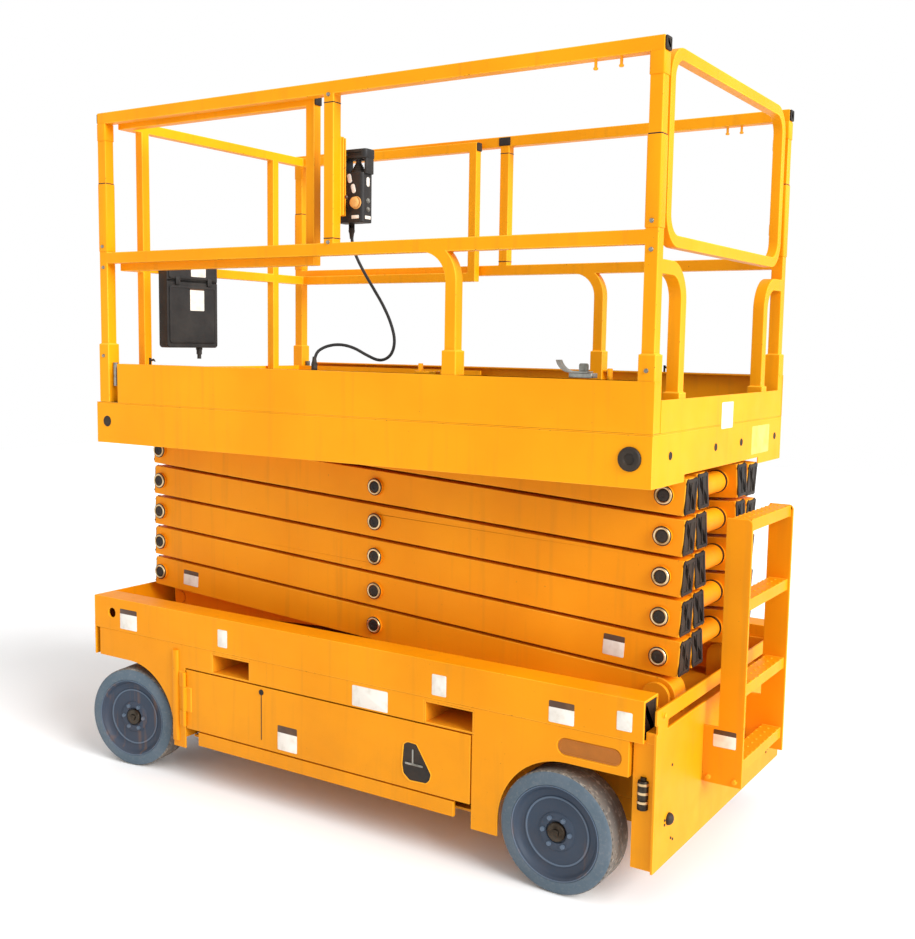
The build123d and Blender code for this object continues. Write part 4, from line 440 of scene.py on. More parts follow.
def moulded(name, colour, dusted, rough, grain, depth, speck=0.0):
    """Moulded plastic or rubber: matt, with a pebbled skin and dust caught in it."""
    tree, place = blank(name)
    haze = noise(tree, place, 9.0, 6.0, 0.65)
    tint = mixed(tree, stretch(tree, haze, 0.4, 0.72), colour, dusted)
    # grit pressed into the surface, or the plain colour where speck is nought
    spots = stretch(tree, noise(tree, place, grain * 0.4, 4.0), 0.54, 0.64, to_high=speck)
    dull = stretch(tree, haze, to_low=rough, to_high=rough + 0.2)
    pebble = add(tree, "TexVoronoi", {"Vector": place, "Scale": grain}).outputs["Distance"]
    shaded(tree, mixed(tree, spots, tint, "#B7AFA2"), dull, pebble, 0.35, depth, ior=1.5, specular=0.35)


def chequer_plate(name):
    """Rolled chequer plate, galvanised and trodden: bars that lean in turn, bright on top."""
    tree, place = blank(name)
    heights = []
    for turn, shift in ((45, 0), (-45, 1)):
        # bars 24 mm long and 7 mm wide, 44 mm apart; the second set leans the other way, between the first
        leant = add(tree, "Mapping", {
            "Vector": place, "Rotation": (0, 0, math.radians(turn)), "Scale": (45, 45, 45),
            "Location": (shift, shift, 0),
        }).outputs[0]
        axes = add(tree, "SeparateXYZ", {0: leant}).outputs
        long = stretch(tree, reckon(tree, "PINGPONG", axes["X"], 1.0), 0.4, 0.52)
        thin = stretch(tree, reckon(tree, "PINGPONG", axes["Y"], 1.0), 0.78, 0.88)
        heights.append(reckon(tree, "MULTIPLY", long, thin))
    bars = reckon(tree, "MAXIMUM", *heights)
    dirt = noise(tree, place, 7.0, 6.0)
    lit = mixed(tree, bars, mixed(tree, dirt, "#8B8984", "#6F6A60"), "#A9A7A1")
    dull = stretch(tree, dirt, to_low=0.35, to_high=0.65)
    shaded(tree, lit, dull, bars, 0.8, 1.5, metallic=0.8)


def cast_vinyl(name, colour, grime):
    """Cast vinyl label: smooth and flat, yellowed at random, scuffed by hands and brushes."""
    tree, place = blank(name)
    cloud = noise(tree, place, 28.0, 5.0)
    mask = stretch(tree, cloud, 0.45, 0.75, to_high=0.7)
    dull = stretch(tree, cloud, to_low=0.32, to_high=0.6)
    shaded(tree, mixed(tree, mask, colour, grime), dull, noise(tree, place, 260.0, 2.0), 0.1, 0.3)


# name: maker and its settings
FINISHES = {
    # body colour: warm yellow enamel; the lighter one, on rounded edges and small fittings, is a painted
    # highlight with more chips for wear
    "yellow_enamel": (enamel, "#F9A309", "#F09904", 0.0, 0.34, 0.3),
    "rubbed_yellow_enamel": (enamel, "#FFBA30", "#F8A91A", 0.07, 0.42, 0.3),
    # chassis: the same paint, deeper and duller where the wheels throw dirt at it
    "chassis_enamel": (enamel, "#EE9806", "#E38D03", 0.0, 0.38, 0.4),
    # the lighter chassis enamel, on rounded edges and small fittings, is a painted highlight with more chips
    # for wear
    "rubbed_chassis_enamel": (enamel, "#F9AE26", "#EE9D14", 0.07, 0.44, 0.4),
    # the stack: the same paint over rougher tube, with more orange in it
    "stack_enamel": (enamel, "#F79C0C", "#ED9006", 0.0, 0.4, 0.0),
    # the lighter stack enamel, on rounded edges, is a painted highlight with more chips for wear
    "rubbed_stack_enamel": (enamel, "#FDB434", "#E89412", 0.07, 0.46, 0.0),
    # under the deck, in the pan and in the fork pockets: a darker enamel as painted shade, dustier low down
    "hidden_enamel": (enamel, "#F09A10", "#DA880C", 0.02, 0.5, 0.7),
    # wheels: blue-grey enamel
    "wheel_enamel": (enamel, "#37485A", "#304052", 0.0, 0.36, 0.1),
    # the lighter wheel enamel, on the rim's lip and rib and on the wheel bolts, is a painted highlight with
    # more chips for wear
    "rubbed_wheel_enamel": (enamel, "#5C6E82", "#506274", 0.04, 0.42, 0.1),
    "oiled_steel": (steel, "#4A443C", "#2A2018", 0.38, 420.0),
    "blackened_steel": (steel, "#2A241E", "#3E2C1A", 0.42, 380.0, 0.6),
    "passivated_zinc": (steel, "#DCC49A", "#A88858", 0.34, 500.0),
    "grey_zinc": (steel, "#9C9C96", "#6E6C64", 0.4, 460.0),
    "hard_chrome": (steel, "#D4D6D8", "#B4B2AC", 0.12, 600.0),
    "tread_rubber": (moulded, "#6E6964", "#7D7468", 0.78, 160.0, 1.2, 0.4),
    "sidewall_rubber": (moulded, "#4F5F6B", "#5F6B76", 0.62, 260.0, 0.6, 0.06),
    "black_nylon": (moulded, "#1C1713", "#3A2E22", 0.5, 420.0, 0.4),
    "black_abs": (moulded, "#1F1E1E", "#34312E", 0.42, 480.0, 0.3),
    "cable_sheath": (moulded, "#1B1A1A", "#383532", 0.48, 700.0, 0.2),
    # dark orange plastic for the plates sunk in the fender slots: painted shade
    "amber_acrylic": (moulded, "#B06408", "#9A5A0C", 0.3, 300.0, 0.2),
    "tan_button": (moulded, "#E0A860", "#C48A44", 0.38, 400.0, 0.2),
    "floor_plate": (chequer_plate,),
    "white_vinyl": (cast_vinyl, "#E9E4DA", "#C9BFAE"),
    "brown_vinyl": (cast_vinyl, "#4A2E18", "#6A4A2C"),
    "faded_vinyl": (cast_vinyl, "#F6C25A", "#EBAA36"),
}


def finish(name):
    """The finish of that name, made the first time that it is asked for."""
    if name not in bpy.data.materials:
        maker, *settings = FINISHES[name]
        maker(name, *settings)
    return bpy.data.materials[name]


# ---- sizes that a user may change
class LiftSizes(bpy.types.PropertyGroup):
    """Sizes of the fittings."""

    plate_edge: bpy.props.FloatProperty(
        name="Plate edge", description="Rounding of folded plates' edges", default=0.0016,
        min=0.0002, max=0.004, unit="LENGTH",
    )
    tube_edge: bpy.props.FloatProperty(
        name="Tube edge", description="Rounding of the rail tubes' edges", default=0.0028,
        min=0.0005, max=0.006, unit="LENGTH",
    )
    label_thickness: bpy.props.FloatProperty(
        name="Label thickness", description="How far a vinyl label stands off the paint", default=0.0006,
        min=0.0001, max=0.002, unit="LENGTH",
    )
    shoulder_cuts: bpy.props.IntProperty(
        name="Shoulder cuts", description="Small cuts round each shoulder of a tyre", default=54,
        min=12, max=120,
    )


class LiftColours(bpy.types.PropertyGroup):
    """Colours and lamps of the studio."""

    floor_colour: bpy.props.FloatVectorProperty(
        name="Floor", description="Colour of the studio floor", default=(0.96, 0.96, 0.96),
        size=3, min=0.0, max=1.0, subtype="COLOR",
    )
    sky_strength: bpy.props.FloatProperty(
        name="Sky strength", description="Even light from all round", default=0.8, min=0.0, max=2.0,
    )
    lamp_strength: bpy.props.FloatProperty(
        name="Lamp strength", description="Irradiance of the soft key lamp", default=4.2, min=0.0, max=8.0,
    )


# ---- studio
# camera: place in metres, angle round the object, tilt down and roll in degrees, and lens in millimetres
CAMERA_PLACE = (2.324, -3.519, 1.644)
CAMERA_ANGLE = 32.603
CAMERA_TILT = 6.3305
CAMERA_ROLL = 0.879
CAMERA_LENS = 43.80
LAMP_TOWARDS = (0.87, -0.13, 0.48)
# angle that the lamp fills, and the floor's side in metres
LAMP_SOFTNESS, FLOOR_SIZE = 38.0, 24.0


class LIFT_OT_studio(bpy.types.Operator):
    """Camera, pale floor, white surround and one soft lamp"""

    bl_idname = "lift.studio"
    bl_label = "Studio"

    def execute(self, context):
        looks = context.scene.lift_colours
        around, tilt, roll = (math.radians(a) for a in (CAMERA_ANGLE, CAMERA_TILT, CAMERA_ROLL))
        clear()
        bpy.ops.object.camera_add()
        camera = context.object
        camera.name = "studio_camera"
        turn = Matrix.Rotation(around, 4, "Z") @ Matrix.Rotation(math.pi / 2 - tilt, 4, "X")
        camera.matrix_world = Matrix.Translation(CAMERA_PLACE) @ turn @ Matrix.Rotation(roll, 4, "Z")
        camera.data.lens = CAMERA_LENS
        camera.data.clip_start = 0.05
        context.scene.camera = camera

        bpy.ops.object.light_add(type="SUN")
        lamp = context.object
        lamp.name = "soft_key_lamp"
        lamp.data.energy = looks.lamp_strength
        lamp.data.angle = math.radians(LAMP_SOFTNESS)
        lamp.rotation_euler = Vector(LAMP_TOWARDS).to_track_quat("Z", "Y").to_euler()

        bpy.ops.mesh.primitive_plane_add(size=FLOOR_SIZE, location=(0, 0, 0))
        floor = context.object
        floor.name = "studio_floor"
        tree, place = blank("pale_studio_floor")
        dull = stretch(tree, noise(tree, place, 3.0, 4.0), to_low=0.82, to_high=0.95)
        shaded(tree, (*looks.floor_colour, 1.0), dull, specular=0.1)
        floor.data.materials.append(bpy.data.materials["pale_studio_floor"])

        world = bpy.data.worlds.new("white_surround")
        world.use_nodes = True
        context.scene.world = world
        sky = world.node_tree
        sky.nodes.clear()
        rays = add(sky, "LightPath").outputs
        glossy = reckon(sky, "MAXIMUM", rays["Is Camera Ray"], rays["Is Glossy Ray"])
        seen = reckon(sky, "MAXIMUM", glossy, rays["Is Transmission Ray"])
        even, white = (
            add(sky, "Background", {"Color": (1, 1, 1, 1), "Strength": strength}).outputs[0]
            for strength in (looks.sky_strength, 1.0)
        )
        both = add(sky, "MixShader", {0: seen, 1: even, 2: white}).outputs[0]
        add(sky, "OutputWorld", {"Surface": both})
        context.scene.view_settings.view_transform = "Standard"
        return {"FINISHED"}


# ---- control cable
# corners of the cable's route, the same as its solid's, in millimetres
CABLE_ROUTE = (
    (-57, -470, 2010), (-57, -470, 1964), (-31, -472, 1913), (5, -475, 1862), (45, -479, 1812),
    (84, -482, 1762), (118, -484, 1704), (137, -486, 1646), (124, -489, 1598), (81, -492, 1579),
    (30, -497, 1598), (-20, -505, 1624), (-70, -518, 1634), (-113, -541, 1625), (-141, -560, 1600),
    (-141, -560, 1562),
)
CABLE_THICK = 0.010
# turned profile of a strain relief: radius and distance from the cable's end
RELIEF = (
    (5.4, 0), (10.6, 0), (10.6, 5), (9.6, 6), (9.6, 9), (8.2, 10), (8.2, 13), (7.6, 14), (7.6, 17),
    (7.0, 18), (7.0, 22), (6.4, 23), (6.4, 27), (5.4, 29), (5.4, 0),
)
# six-sided collar of a strain relief, and how far above the cable's start its two copies stand
COLLAR = ((0, 0), (10.8, 0), (10.8, 15.5), (0, 15.5))
COLLAR_RISES = (19.6, 15.6)


class LIFT_OT_control_cable(bpy.types.Operator):
    """Black cable from the control box to the deck, with a strain relief at each end"""

    bl_idname = "lift.control_cable"
    bl_label = "Control cable"

    def execute(self, context):
        line = bpy.data.curves.new("control_cable_line", "CURVE")
        line.dimensions = "3D"
        spline = line.splines.new("NURBS")
        spline.points.add(len(CABLE_ROUTE) - 1)
        for point, corner in zip(spline.points, CABLE_ROUTE):
            point.co = (*(value / 1000 for value in corner), 1.0)
        spline.order_u = 3
        spline.use_endpoint_u = True
        spline.resolution_u = 12
        line.bevel_depth = CABLE_THICK / 2
        line.bevel_resolution = 4
        line.use_fill_caps = True
        cable = bpy.data.objects.new("control_cable_sheath", line)
        context.scene.collection.objects.link(cable)
        line.materials.append(finish("cable_sheath"))
        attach(cable, "platform")
        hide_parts("control_cable")
        start, end = CABLE_ROUTE[0], CABLE_ROUTE[-1]
        pair = copied(turned(RELIEF, 24), [at(*start, DOWN), at(*end, UP)])
        collar = break_edges(turned(COLLAR, 6), 0.6)
        places = [at(start[0], start[1], start[2] + rise, DOWN) for rise in COLLAR_RISES]
        pair += copied(collar, places + [at(*end, DOWN)])
        reliefs = fitted(pair, "cable_strain_reliefs", "platform", *NYLON)
        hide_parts("cable_glands")
        return {"FINISHED"}


# ---- painted plates, tubes and castings
BODY_COAT = ("yellow_enamel", "rubbed_yellow_enamel")
CHASSIS_COAT = ("chassis_enamel", "rubbed_chassis_enamel")
STACK_COAT = ("stack_enamel", "rubbed_stack_enamel")
PAINTED_SHADE_COAT = ("hidden_enamel", "rubbed_stack_enamel")
BARE_STEEL = ("blackened_steel",)
LEVELS = range(1, 7)
# edge ("plate", "tube" or millimetres), coat, slot, and the nodes that they go on
SKINS = (
    ("tube", CHASSIS_COAT, "yellow_paint", ("chassis_rails",)),
    ("plate", CHASSIS_COAT, "yellow_paint", ("end_plates", "ladder")),
    (1.2, CHASSIS_COAT, "yellow_paint", ("guard_near", "guard_far")),
    # the pan, fork pockets and scissor base take the darker enamel as painted shade
    (1.2, PAINTED_SHADE_COAT, "yellow_paint", ("chassis_pan",)),
    (1.0, PAINTED_SHADE_COAT, "yellow_paint", ("fork_pockets",)),
    (1.2, PAINTED_SHADE_COAT, "arm_paint", ("scissor_base",)),
    (4.0, ("black_abs",), "dark_steel", ("power_units",)),
    (1.6, BARE_STEEL, "dark_steel", ("rear_axle", "front_axle", "knuckle_near", "knuckle_far")),
    (1.0, BARE_STEEL, "dark_steel", ("tie_rod",)),
    ("plate", BODY_COAT, "yellow_paint", ("deck_frame",)),
    (0.8, BODY_COAT, "yellow_paint", ("toe_boards",)),
    ("tube", BODY_COAT, "yellow_paint", ("guard_rail_near", "guard_rail_far", "gate", "extension_rails")),
    (2.4, STACK_COAT, "arm_paint", [f"outer_arms_{level}" for level in LEVELS]),
    (2.4, STACK_COAT, "arm_paint", [f"inner_arms_{level}" for level in LEVELS]),
    (1.0, STACK_COAT, "arm_paint", [f"pivots_{level}" for level in LEVELS]),
    (1.4, STACK_COAT, "arm_paint", ("barrel_lower", "barrel_upper")),
    (1.0, ("hard_chrome",), "rod_chrome", ("rod_lower", "rod_upper")),
)
# above both floors' plates there are only the extension's toe boards
ABOVE_FLOORS = 1425.0


class LIFT_OT_painted_steel(bpy.types.Operator):
    """Skins of the plates, tubes, arms and castings, with their edges rounded and painted lighter as a
    highlight, with more chips for wear
    """

    bl_idname = "lift.painted_steel"
    bl_label = "Painted steel"

    def execute(self, context):
        sizes = context.scene.lift_sizes
        edges = {"plate": sizes.plate_edge * 1000, "tube": sizes.tube_edge * 1000}
        for edge, coat, slot, nodes in SKINS:
            for node in nodes:
                skin(node, edges.get(edge, edge), *coat, slot=slot)
        # both floors' edges and the extension's toe boards are painted
        for node, slot in (("deck_floor", "grey_steel"), ("extension_floor", "yellow_paint")):
            floor = skin(node, 0.8, "floor_plate", "yellow_enamel", slot=slot)
            repaint(floor, lambda middle, way: abs(way.z) < 0.5 or middle.z > ABOVE_FLOORS)
        return {"FINISHED"}


# slot over each rear wheel: recess in the fender's face, with a dark orange plate in it as painted shade; x
# from, x to, z from, z to, and depth
FENDER_SLOT = (815.0, 1024.0, 434.0, 489.0, 4.0)
SKIRT_Y = 588.0


class LIFT_OT_side_skirts(bpy.types.Operator):
    """Side skirts with a recessed slot over each rear wheel, a dark orange plate in it as painted shade, and
    the swinging doors
    """

    bl_idname = "lift.side_skirts"
    bl_label = "Side skirts and doors"

    def execute(self, context):
        edge = context.scene.lift_sizes.plate_edge * 1000
        left, right, low, high, depth = FENDER_SLOT
        wide, tall = right - left, high - low
        for side, name, out in SIDES:
            place = at((left + right) / 2, side * SKIRT_Y, (low + high) / 2, out)
            cutter = moved(block((wide, tall, 2 * depth), corner=27.0, edge=0, steps=8), place)
            skin(f"side_skirt_{name}", edge, *CHASSIS_COAT, cutter=cutter)
            # a dark orange plate sunk in the recess: painted shade of the slot's inside
            lens = block((wide - 6, tall - 6, 2.0), (0, 0, -2.6), corner=24.0, edge=0.6, steps=8)
            moved(sink(lens, 5.0, 0.8), place)
            fitted(lens, f"side_marker_{name}", "chassis", "yellow_paint", "amber_acrylic")
            skin(f"door_{name}", edge, *CHASSIS_COAT)
        return {"FINISHED"}


# ---- wheels
TYRE_HALF = (
    (148.2, 60), (148.2, 63), (150.5, 64.4), (158, 63.2), (166, 61.9), (175, 60.3), (182, 58.4),
    (186.5, 55.8), (189.2, 51.5), (189.8, 46), (189.8, 16), (188.8, 14.5),
)
TYRE_PROFILE = (*((r, -h) for r, h in TYRE_HALF), *reversed(TYRE_HALF), (148.2, -60))
RIM_PROFILE = (
    (147.6, -64.5), (147.6, 62.5), (146.8, 64.4), (144.6, 64.4), (143.4, 63), (142.6, 60.5), (140.0, 59.5),
    (137.5, 57), (135.0, 50), (130, 44.5), (124, 42), (110.5, 41.6), (109, 43.6), (107.6, 44.4),
    (103.4, 44.4), (102, 43.6), (100.5, 41.6), (64, 41.2), (61, 42.2), (58.5, 46), (55, 47.8),
    (36.5, 47.8), (35, 46.8), (34, 41.2), (21, 41.0), (21, -20), (46, -20), (46, 26.5), (118, 27.5),
    (126, 24), (132, -10), (138.5, -62), (140, -64.5), (147.6, -64.5),
)
HUB_CAP = (
    (0, 60.2), (9.5, 60.2), (11.5, 59.4), (12.4, 57.5), (12.4, 54.5), (15.5, 54.2), (24.5, 53.6),
    (27.5, 52.6), (28.6, 51.1), (0, 51.1),
)
HUB_BOLT_RING, HUB_FACE = 46.0, 47.6
# bands of a tyre's shoulder that are cut: radius from, to, and distance from its middle from, to
SHOULDER = (184.5, 189.3, 51.0, 58.0)
# radius of the rim's lip, and of the rib round its disc from, to; both take the lighter enamel as a painted
# highlight
RIM_LIP, RIM_RIB = 143.0, (102.0, 108.0)
STEERED = math.radians(9.0)
# wheel's body: middle in millimetres, and outward direction
WHEELS = {
    "wheel_rear_near": ((817.0, -535.0, 190.0), NEAR),
    "wheel_rear_far": ((817.0, 535.0, 190.0), FAR),
    "wheel_front_near": ((-1028.1, -533.8, 190.0), (math.sin(STEERED), -math.cos(STEERED), 0)),
    "wheel_front_far": ((-1057.9, 533.8, 190.0), (-math.sin(STEERED), math.cos(STEERED), 0)),
}


def hex_bolt(across, head, washer):
    """A hexagon head with a chamfered top on a washer."""
    clear()
    bpy.ops.mesh.primitive_cylinder_add(
        vertices=6, radius=across / 1732, depth=head / 1000, location=(0, 0, (1.8 + head / 2) / 1000)
    )
    obj = settled()
    shape(obj)
    pick(obj, lambda middle, way: way.z > 0.99)
    bpy.ops.mesh.bevel(offset=head / 8000, segments=1, affect="EDGES")
    close()
    ring = turned(((0, 0), (washer, 0), (washer, 1.2), (washer - 0.7, 1.9), (0, 1.9)), 16)
    return joined([obj, ring])


class LIFT_OT_wheels(bpy.types.Operator):
    """Solid tyres, pressed wheels, wheel bolts and hub nuts"""

    bl_idname = "lift.wheels"
    bl_label = "Wheels"

    def execute(self, context):
        cuts = context.scene.lift_sizes.shoulder_cuts
        shoulder_in, shoulder_out, low, high = SHOULDER
        tyre = coated(turned(TYRE_PROFILE, cuts * 2), "tread_rubber", "sidewall_rubber")

        def shoulder(middle, way):
            turn = math.atan2(middle.y, middle.x) / math.tau * cuts
            on_shoulder = shoulder_in < middle.xy.length < shoulder_out and low < abs(middle.z) < high
            return on_shoulder and turn % 1.0 < 0.5

        # small cuts in every other facet of both shoulders
        shape(tyre)
        pick(tyre, shoulder)
        bpy.ops.mesh.inset(thickness=0.0012, depth=-0.0024, use_individual=True)
        close()
        repaint(tyre, lambda middle, way: middle.xy.length < shoulder_in)
        # the lip and the rib round the disc take the lighter enamel: a painted highlight, with more chips
        rim = coated(turned(RIM_PROFILE, 80), "wheel_enamel", "rubbed_wheel_enamel")
        repaint(rim, lambda middle, way: middle.z > 40 and (
            middle.xy.length > RIM_LIP or RIM_RIB[0] < middle.xy.length < RIM_RIB[1]
        ))
        ring = joined(copied(hex_bolt(13.0, 5.5, 7.6), [
            at(HUB_BOLT_RING * math.cos(a), HUB_BOLT_RING * math.sin(a), HUB_FACE)
            for a in (math.tau * i / 6 for i in range(6))
        ]))
        cap = turned(HUB_CAP, 40)
        for body, (middle, out) in WHEELS.items():
            corner = body[len("wheel_"):]
            holder = "chassis" if corner.startswith("rear") else f"knuckle_{corner.split('_')[1]}"
            place = [at(*middle, out)]
            rubber, disc, bolts, nut = (copied(p, place, keep=True)[0] for p in (tyre, rim, ring, cap))
            fitted(rubber, f"solid_tyre_{corner}", body, "tyre_rubber", angle=30)
            fitted(disc, f"pressed_wheel_{corner}", body, "rim_paint", angle=30)
            # the bolts are in the lighter wheel enamel: painted glints on the boss
            fitted(bolts, f"wheel_bolts_{corner}", body, "dark_steel", "rubbed_wheel_enamel")
            fitted(nut, f"hub_nut_{corner}", holder, "dark_steel", "oiled_steel")
            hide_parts(f"tyre_{corner}")
            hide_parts(f"rim_{corner}")
        scrap(tyre, rim, ring, cap)
        return {"FINISHED"}


# ---- stack
PIN_LEFT, PIN_MIDDLE, PIN_RIGHT = -1130.0, -55.5, 1019.0
PIN_PITCH, LOWEST_PIN_Z = 123.5, 583.0
ARM_SLOPE = math.atan2(PIN_PITCH, PIN_RIGHT - PIN_LEFT)
HALF_ARM = math.hypot(PIN_PITCH, PIN_RIGHT - PIN_LEFT) / 2
# how far an arm runs on past its pin, less the cap's seat: at the rear, and at the front
ARM_ENDS = ((1, 63.0), (-1, 34.0))
OUTER_ARM_Y, INNER_ARM_Y, SHAFT_BAND_Y = 280.0, 180.0, 112.0
PIN_FACE_Y = 334.3
PIN_RING = (
    (30.4, 0.1), (30.4, 1.8), (29.4, 2.6), (27.6, 3.0), (26.6, 4.6), (25.2, 5.4), (22.4, 5.4), (21.2, 4.6),
    (20.8, 0.1), (30.4, 0.1),
)
PIN_CENTRE = ((0, 2.2), (6.4, 2.2), (7.2, 3.4), (11, 3.8), (16.5, 3.2), (19.4, 1.8), (20.4, 0.1), (0, 0.1))
SHAFT_BAND = ((36.2, -7), (38.4, -6), (38.4, 6), (36.2, 7), (36.2, -7))


def pin_height(level):
    """Height of the pins on top of a folded level."""
    return LOWEST_PIN_Z + PIN_PITCH * level


class LIFT_OT_stack(bpy.types.Operator):
    """Plated rings and black centres on the stack's pins, and caps in the arms' open ends"""

    bl_idname = "lift.stack"
    bl_label = "Pins and arm caps"

    def execute(self, context):
        ring = coated(turned(PIN_RING, 40), "passivated_zinc", "blackened_steel")
        repaint(ring, lambda middle, way: middle.xy.length > 27.4)
        centre, band = turned(PIN_CENTRE, 32), turned(SHAFT_BAND, 32)
        # cap of a tube's end: a plate with a sunk middle and a grip rib
        plate = sink(block((85, 107, 4.0), (0, 0, 3.1), corner=5.0, edge=1.2), 9.0, 2.2)
        neck = block((75, 97, 6.0), (0, 0, -2.0), corner=4.0, edge=0.8)
        cap = joined([plate, neck, block((6, 84, 2.2), (0, 0, 3.6), edge=0.6)])
        for level in LEVELS:
            first, last = level == LEVELS[0], level == LEVELS[-1]
            inner = f"inner_{level}"
            crossing = pin_height(level) - PIN_PITCH / 2
            upper = [(PIN_RIGHT, pin_height(level))]
            lower = [] if first else [(PIN_LEFT, pin_height(level - 1))]
            middles = [(PIN_MIDDLE, crossing)] + ([] if last else upper) + lower
            places = mirrored([(x, PIN_FACE_Y, z) for x, z in middles])
            fitted(copied(ring, places, keep=True), f"pin_rings_{level}", inner, "pin_steel")
            fitted(copied(centre, places, keep=True), f"pin_centres_{level}", inner, *NYLON)
            # oiled bands on the shafts between the inner arms
            places = [at(x, y, z, FAR) for x, z in upper + lower for y in (-SHAFT_BAND_Y, SHAFT_BAND_Y)]
            bands = copied(band, places, keep=True)
            fitted(bands, f"shaft_bands_{level}", inner, "pin_steel", "oiled_steel")
            # the first level's outer arms and the last level's inner arms are closed at the rear
            for row, out_y, rise, closed in (
                ("outer", OUTER_ARM_Y, -1, first), ("inner", INNER_ARM_Y, 1, last)
            ):
                along = Vector((math.cos(ARM_SLOPE), 0, rise * math.sin(ARM_SLOPE)))
                across = Vector((-along.z, 0, along.x))
                places = []
                for end, over in ARM_ENDS[1:] if closed else ARM_ENDS:
                    for y in (-out_y, out_y):
                        middle = Vector((PIN_MIDDLE, y, crossing)) + along * end * (HALF_ARM + over)
                        places.append(at(*middle, along * end, across))
                fitted(copied(cap, places, keep=True), f"{row}_arm_caps_{level}", f"{row}_{level}", *NYLON)
        scrap(ring, centre, band, cap)
        return {"FINISHED"}


# ---- labels
# body, middle, width, height, out, whether it leans with an arm, share of the height that is header
LABELS = [
    ("chassis", (-1032, -590, 571), 92, 78, NEAR, 0, 0.24),
    ("chassis", (-541, -590, 574), 46, 64, NEAR, 0, 0.0),
    ("chassis", (394, -590, 568), 54, 68, NEAR, 0, 0.0),
    ("chassis", (828, -590, 562), 84, 66, NEAR, 0, 0.3),
    ("chassis", (1030, -590, 576), 48, 56, NEAR, 0, 0.0),
    ("chassis", (120, -588, 474), 146, 70, NEAR, 0, 0.0),
    ("door_near", (-237, -588, 262), 88, 88, NEAR, 0, 0.28),
    ("outer_1", (-968, -325, 697.2), 80, 60, NEAR, 1, 0.28),
    ("outer_2", (868, -325, 715.2), 72, 66, NEAR, 1, 0.28),
    ("chassis", (1196, -210, 446), 72, 54, NEAR, 0, 0.28),
    ("platform", (1085, 10, 1428), 104, 84, REAR, 0, 0.0),
    ("extension", (-1031.1, -215, 1800), 76, 92, REAR, 0, 0.12),
    ("extension", (-1030.2, -208, 1907), 80, 40, REAR, 0, 0.0),
    ("chassis", (-1032, 590, 571), 92, 78, FAR, 0, 0.24),
    ("chassis", (828, 590, 562), 84, 66, FAR, 0, 0.3),
    ("door_far", (-237, 588, 262), 88, 88, FAR, 0, 0.28),
    ("outer_2", (868, 325, 715.2), 72, 66, FAR, 1, 0.28),
    ("chassis", (-1224.3, 0, 560), 120, 60, FRONT, 0, 0.28),
]
FADED_LABELS = [("platform", (1085, 352, 1330), 186, 96, REAR, 0, 0.0)]


class LIFT_OT_labels(bpy.types.Operator):
    """Blank labels with plain header bands"""

    bl_idname = "lift.labels"
    bl_label = "Blank labels"

    def execute(self, context):
        thick = context.scene.lift_sizes.label_thickness * 1000
        for table, top in ((LABELS, "white_vinyl"), (FADED_LABELS, "faded_vinyl")):
            for number, (body, middle, width, height, out, lean, header) in enumerate(table, 1):
                label = block((width, height, thick), (0, 0, thick / 2), corner=4.0, edge=0.15)
                coated(label, top, "brown_vinyl")
                if header:
                    line = height * (0.5 - header)
                    shape(label, everything=True)
                    bpy.ops.mesh.bisect(plane_co=(0, line / 1000, 0), plane_no=(0, 1, 0))
                    close()
                    repaint(label, lambda middle, way: middle.y > line)
                up = (math.sin(ARM_SLOPE), 0, math.cos(ARM_SLOPE)) if lean else None
                moved(label, at(*middle, out, up))
                fitted(label, f"{top}_label_{number}", body, "black_plastic", angle=30)
        return {"FINISHED"}


# ---- deck and chassis fittings
DOME = ((0, 16), (6, 15.6), (11, 14), (15, 11), (17.5, 7), (18.4, 3), (18.4, 0.2), (0, 0.2))
BUFFER = (
    (0, 3.4), (11, 3.4), (14, 4.6), (16, 8.6), (19, 10.4), (29, 10.4), (32.5, 9.2), (34.6, 6.4), (35.2, 3),
    (35.2, 0.2), (0, 0.2),
)
# black ring and disc at each blind hole in the deck's sides: the black is painted shade of the hole
BLIND_HOLE = ((0, 0.3), (15.5, 0.3), (17, 1.8), (19.4, 1.8), (20.4, 1.0), (20.4, 0.1), (0, 0.1))
SMALL_PLUG = ((0, 0.8), (8, 0.8), (9.2, 1.8), (11.4, 1.8), (12.4, 0.9), (12.4, 0.1), (0, 0.1))
STUB = ((0, 0), (8, 0), (8, 30), (6.6, 32), (0, 32))
# the deck's side, rear and front, and the top of its toe boards
DECK_SIDE_Y, DECK_REAR_X, DECK_FRONT_X, TOE_TOP_Z = 585.0, 1085.0, -1193.0, 1546.4
PEDAL = (842, -553, 1564)


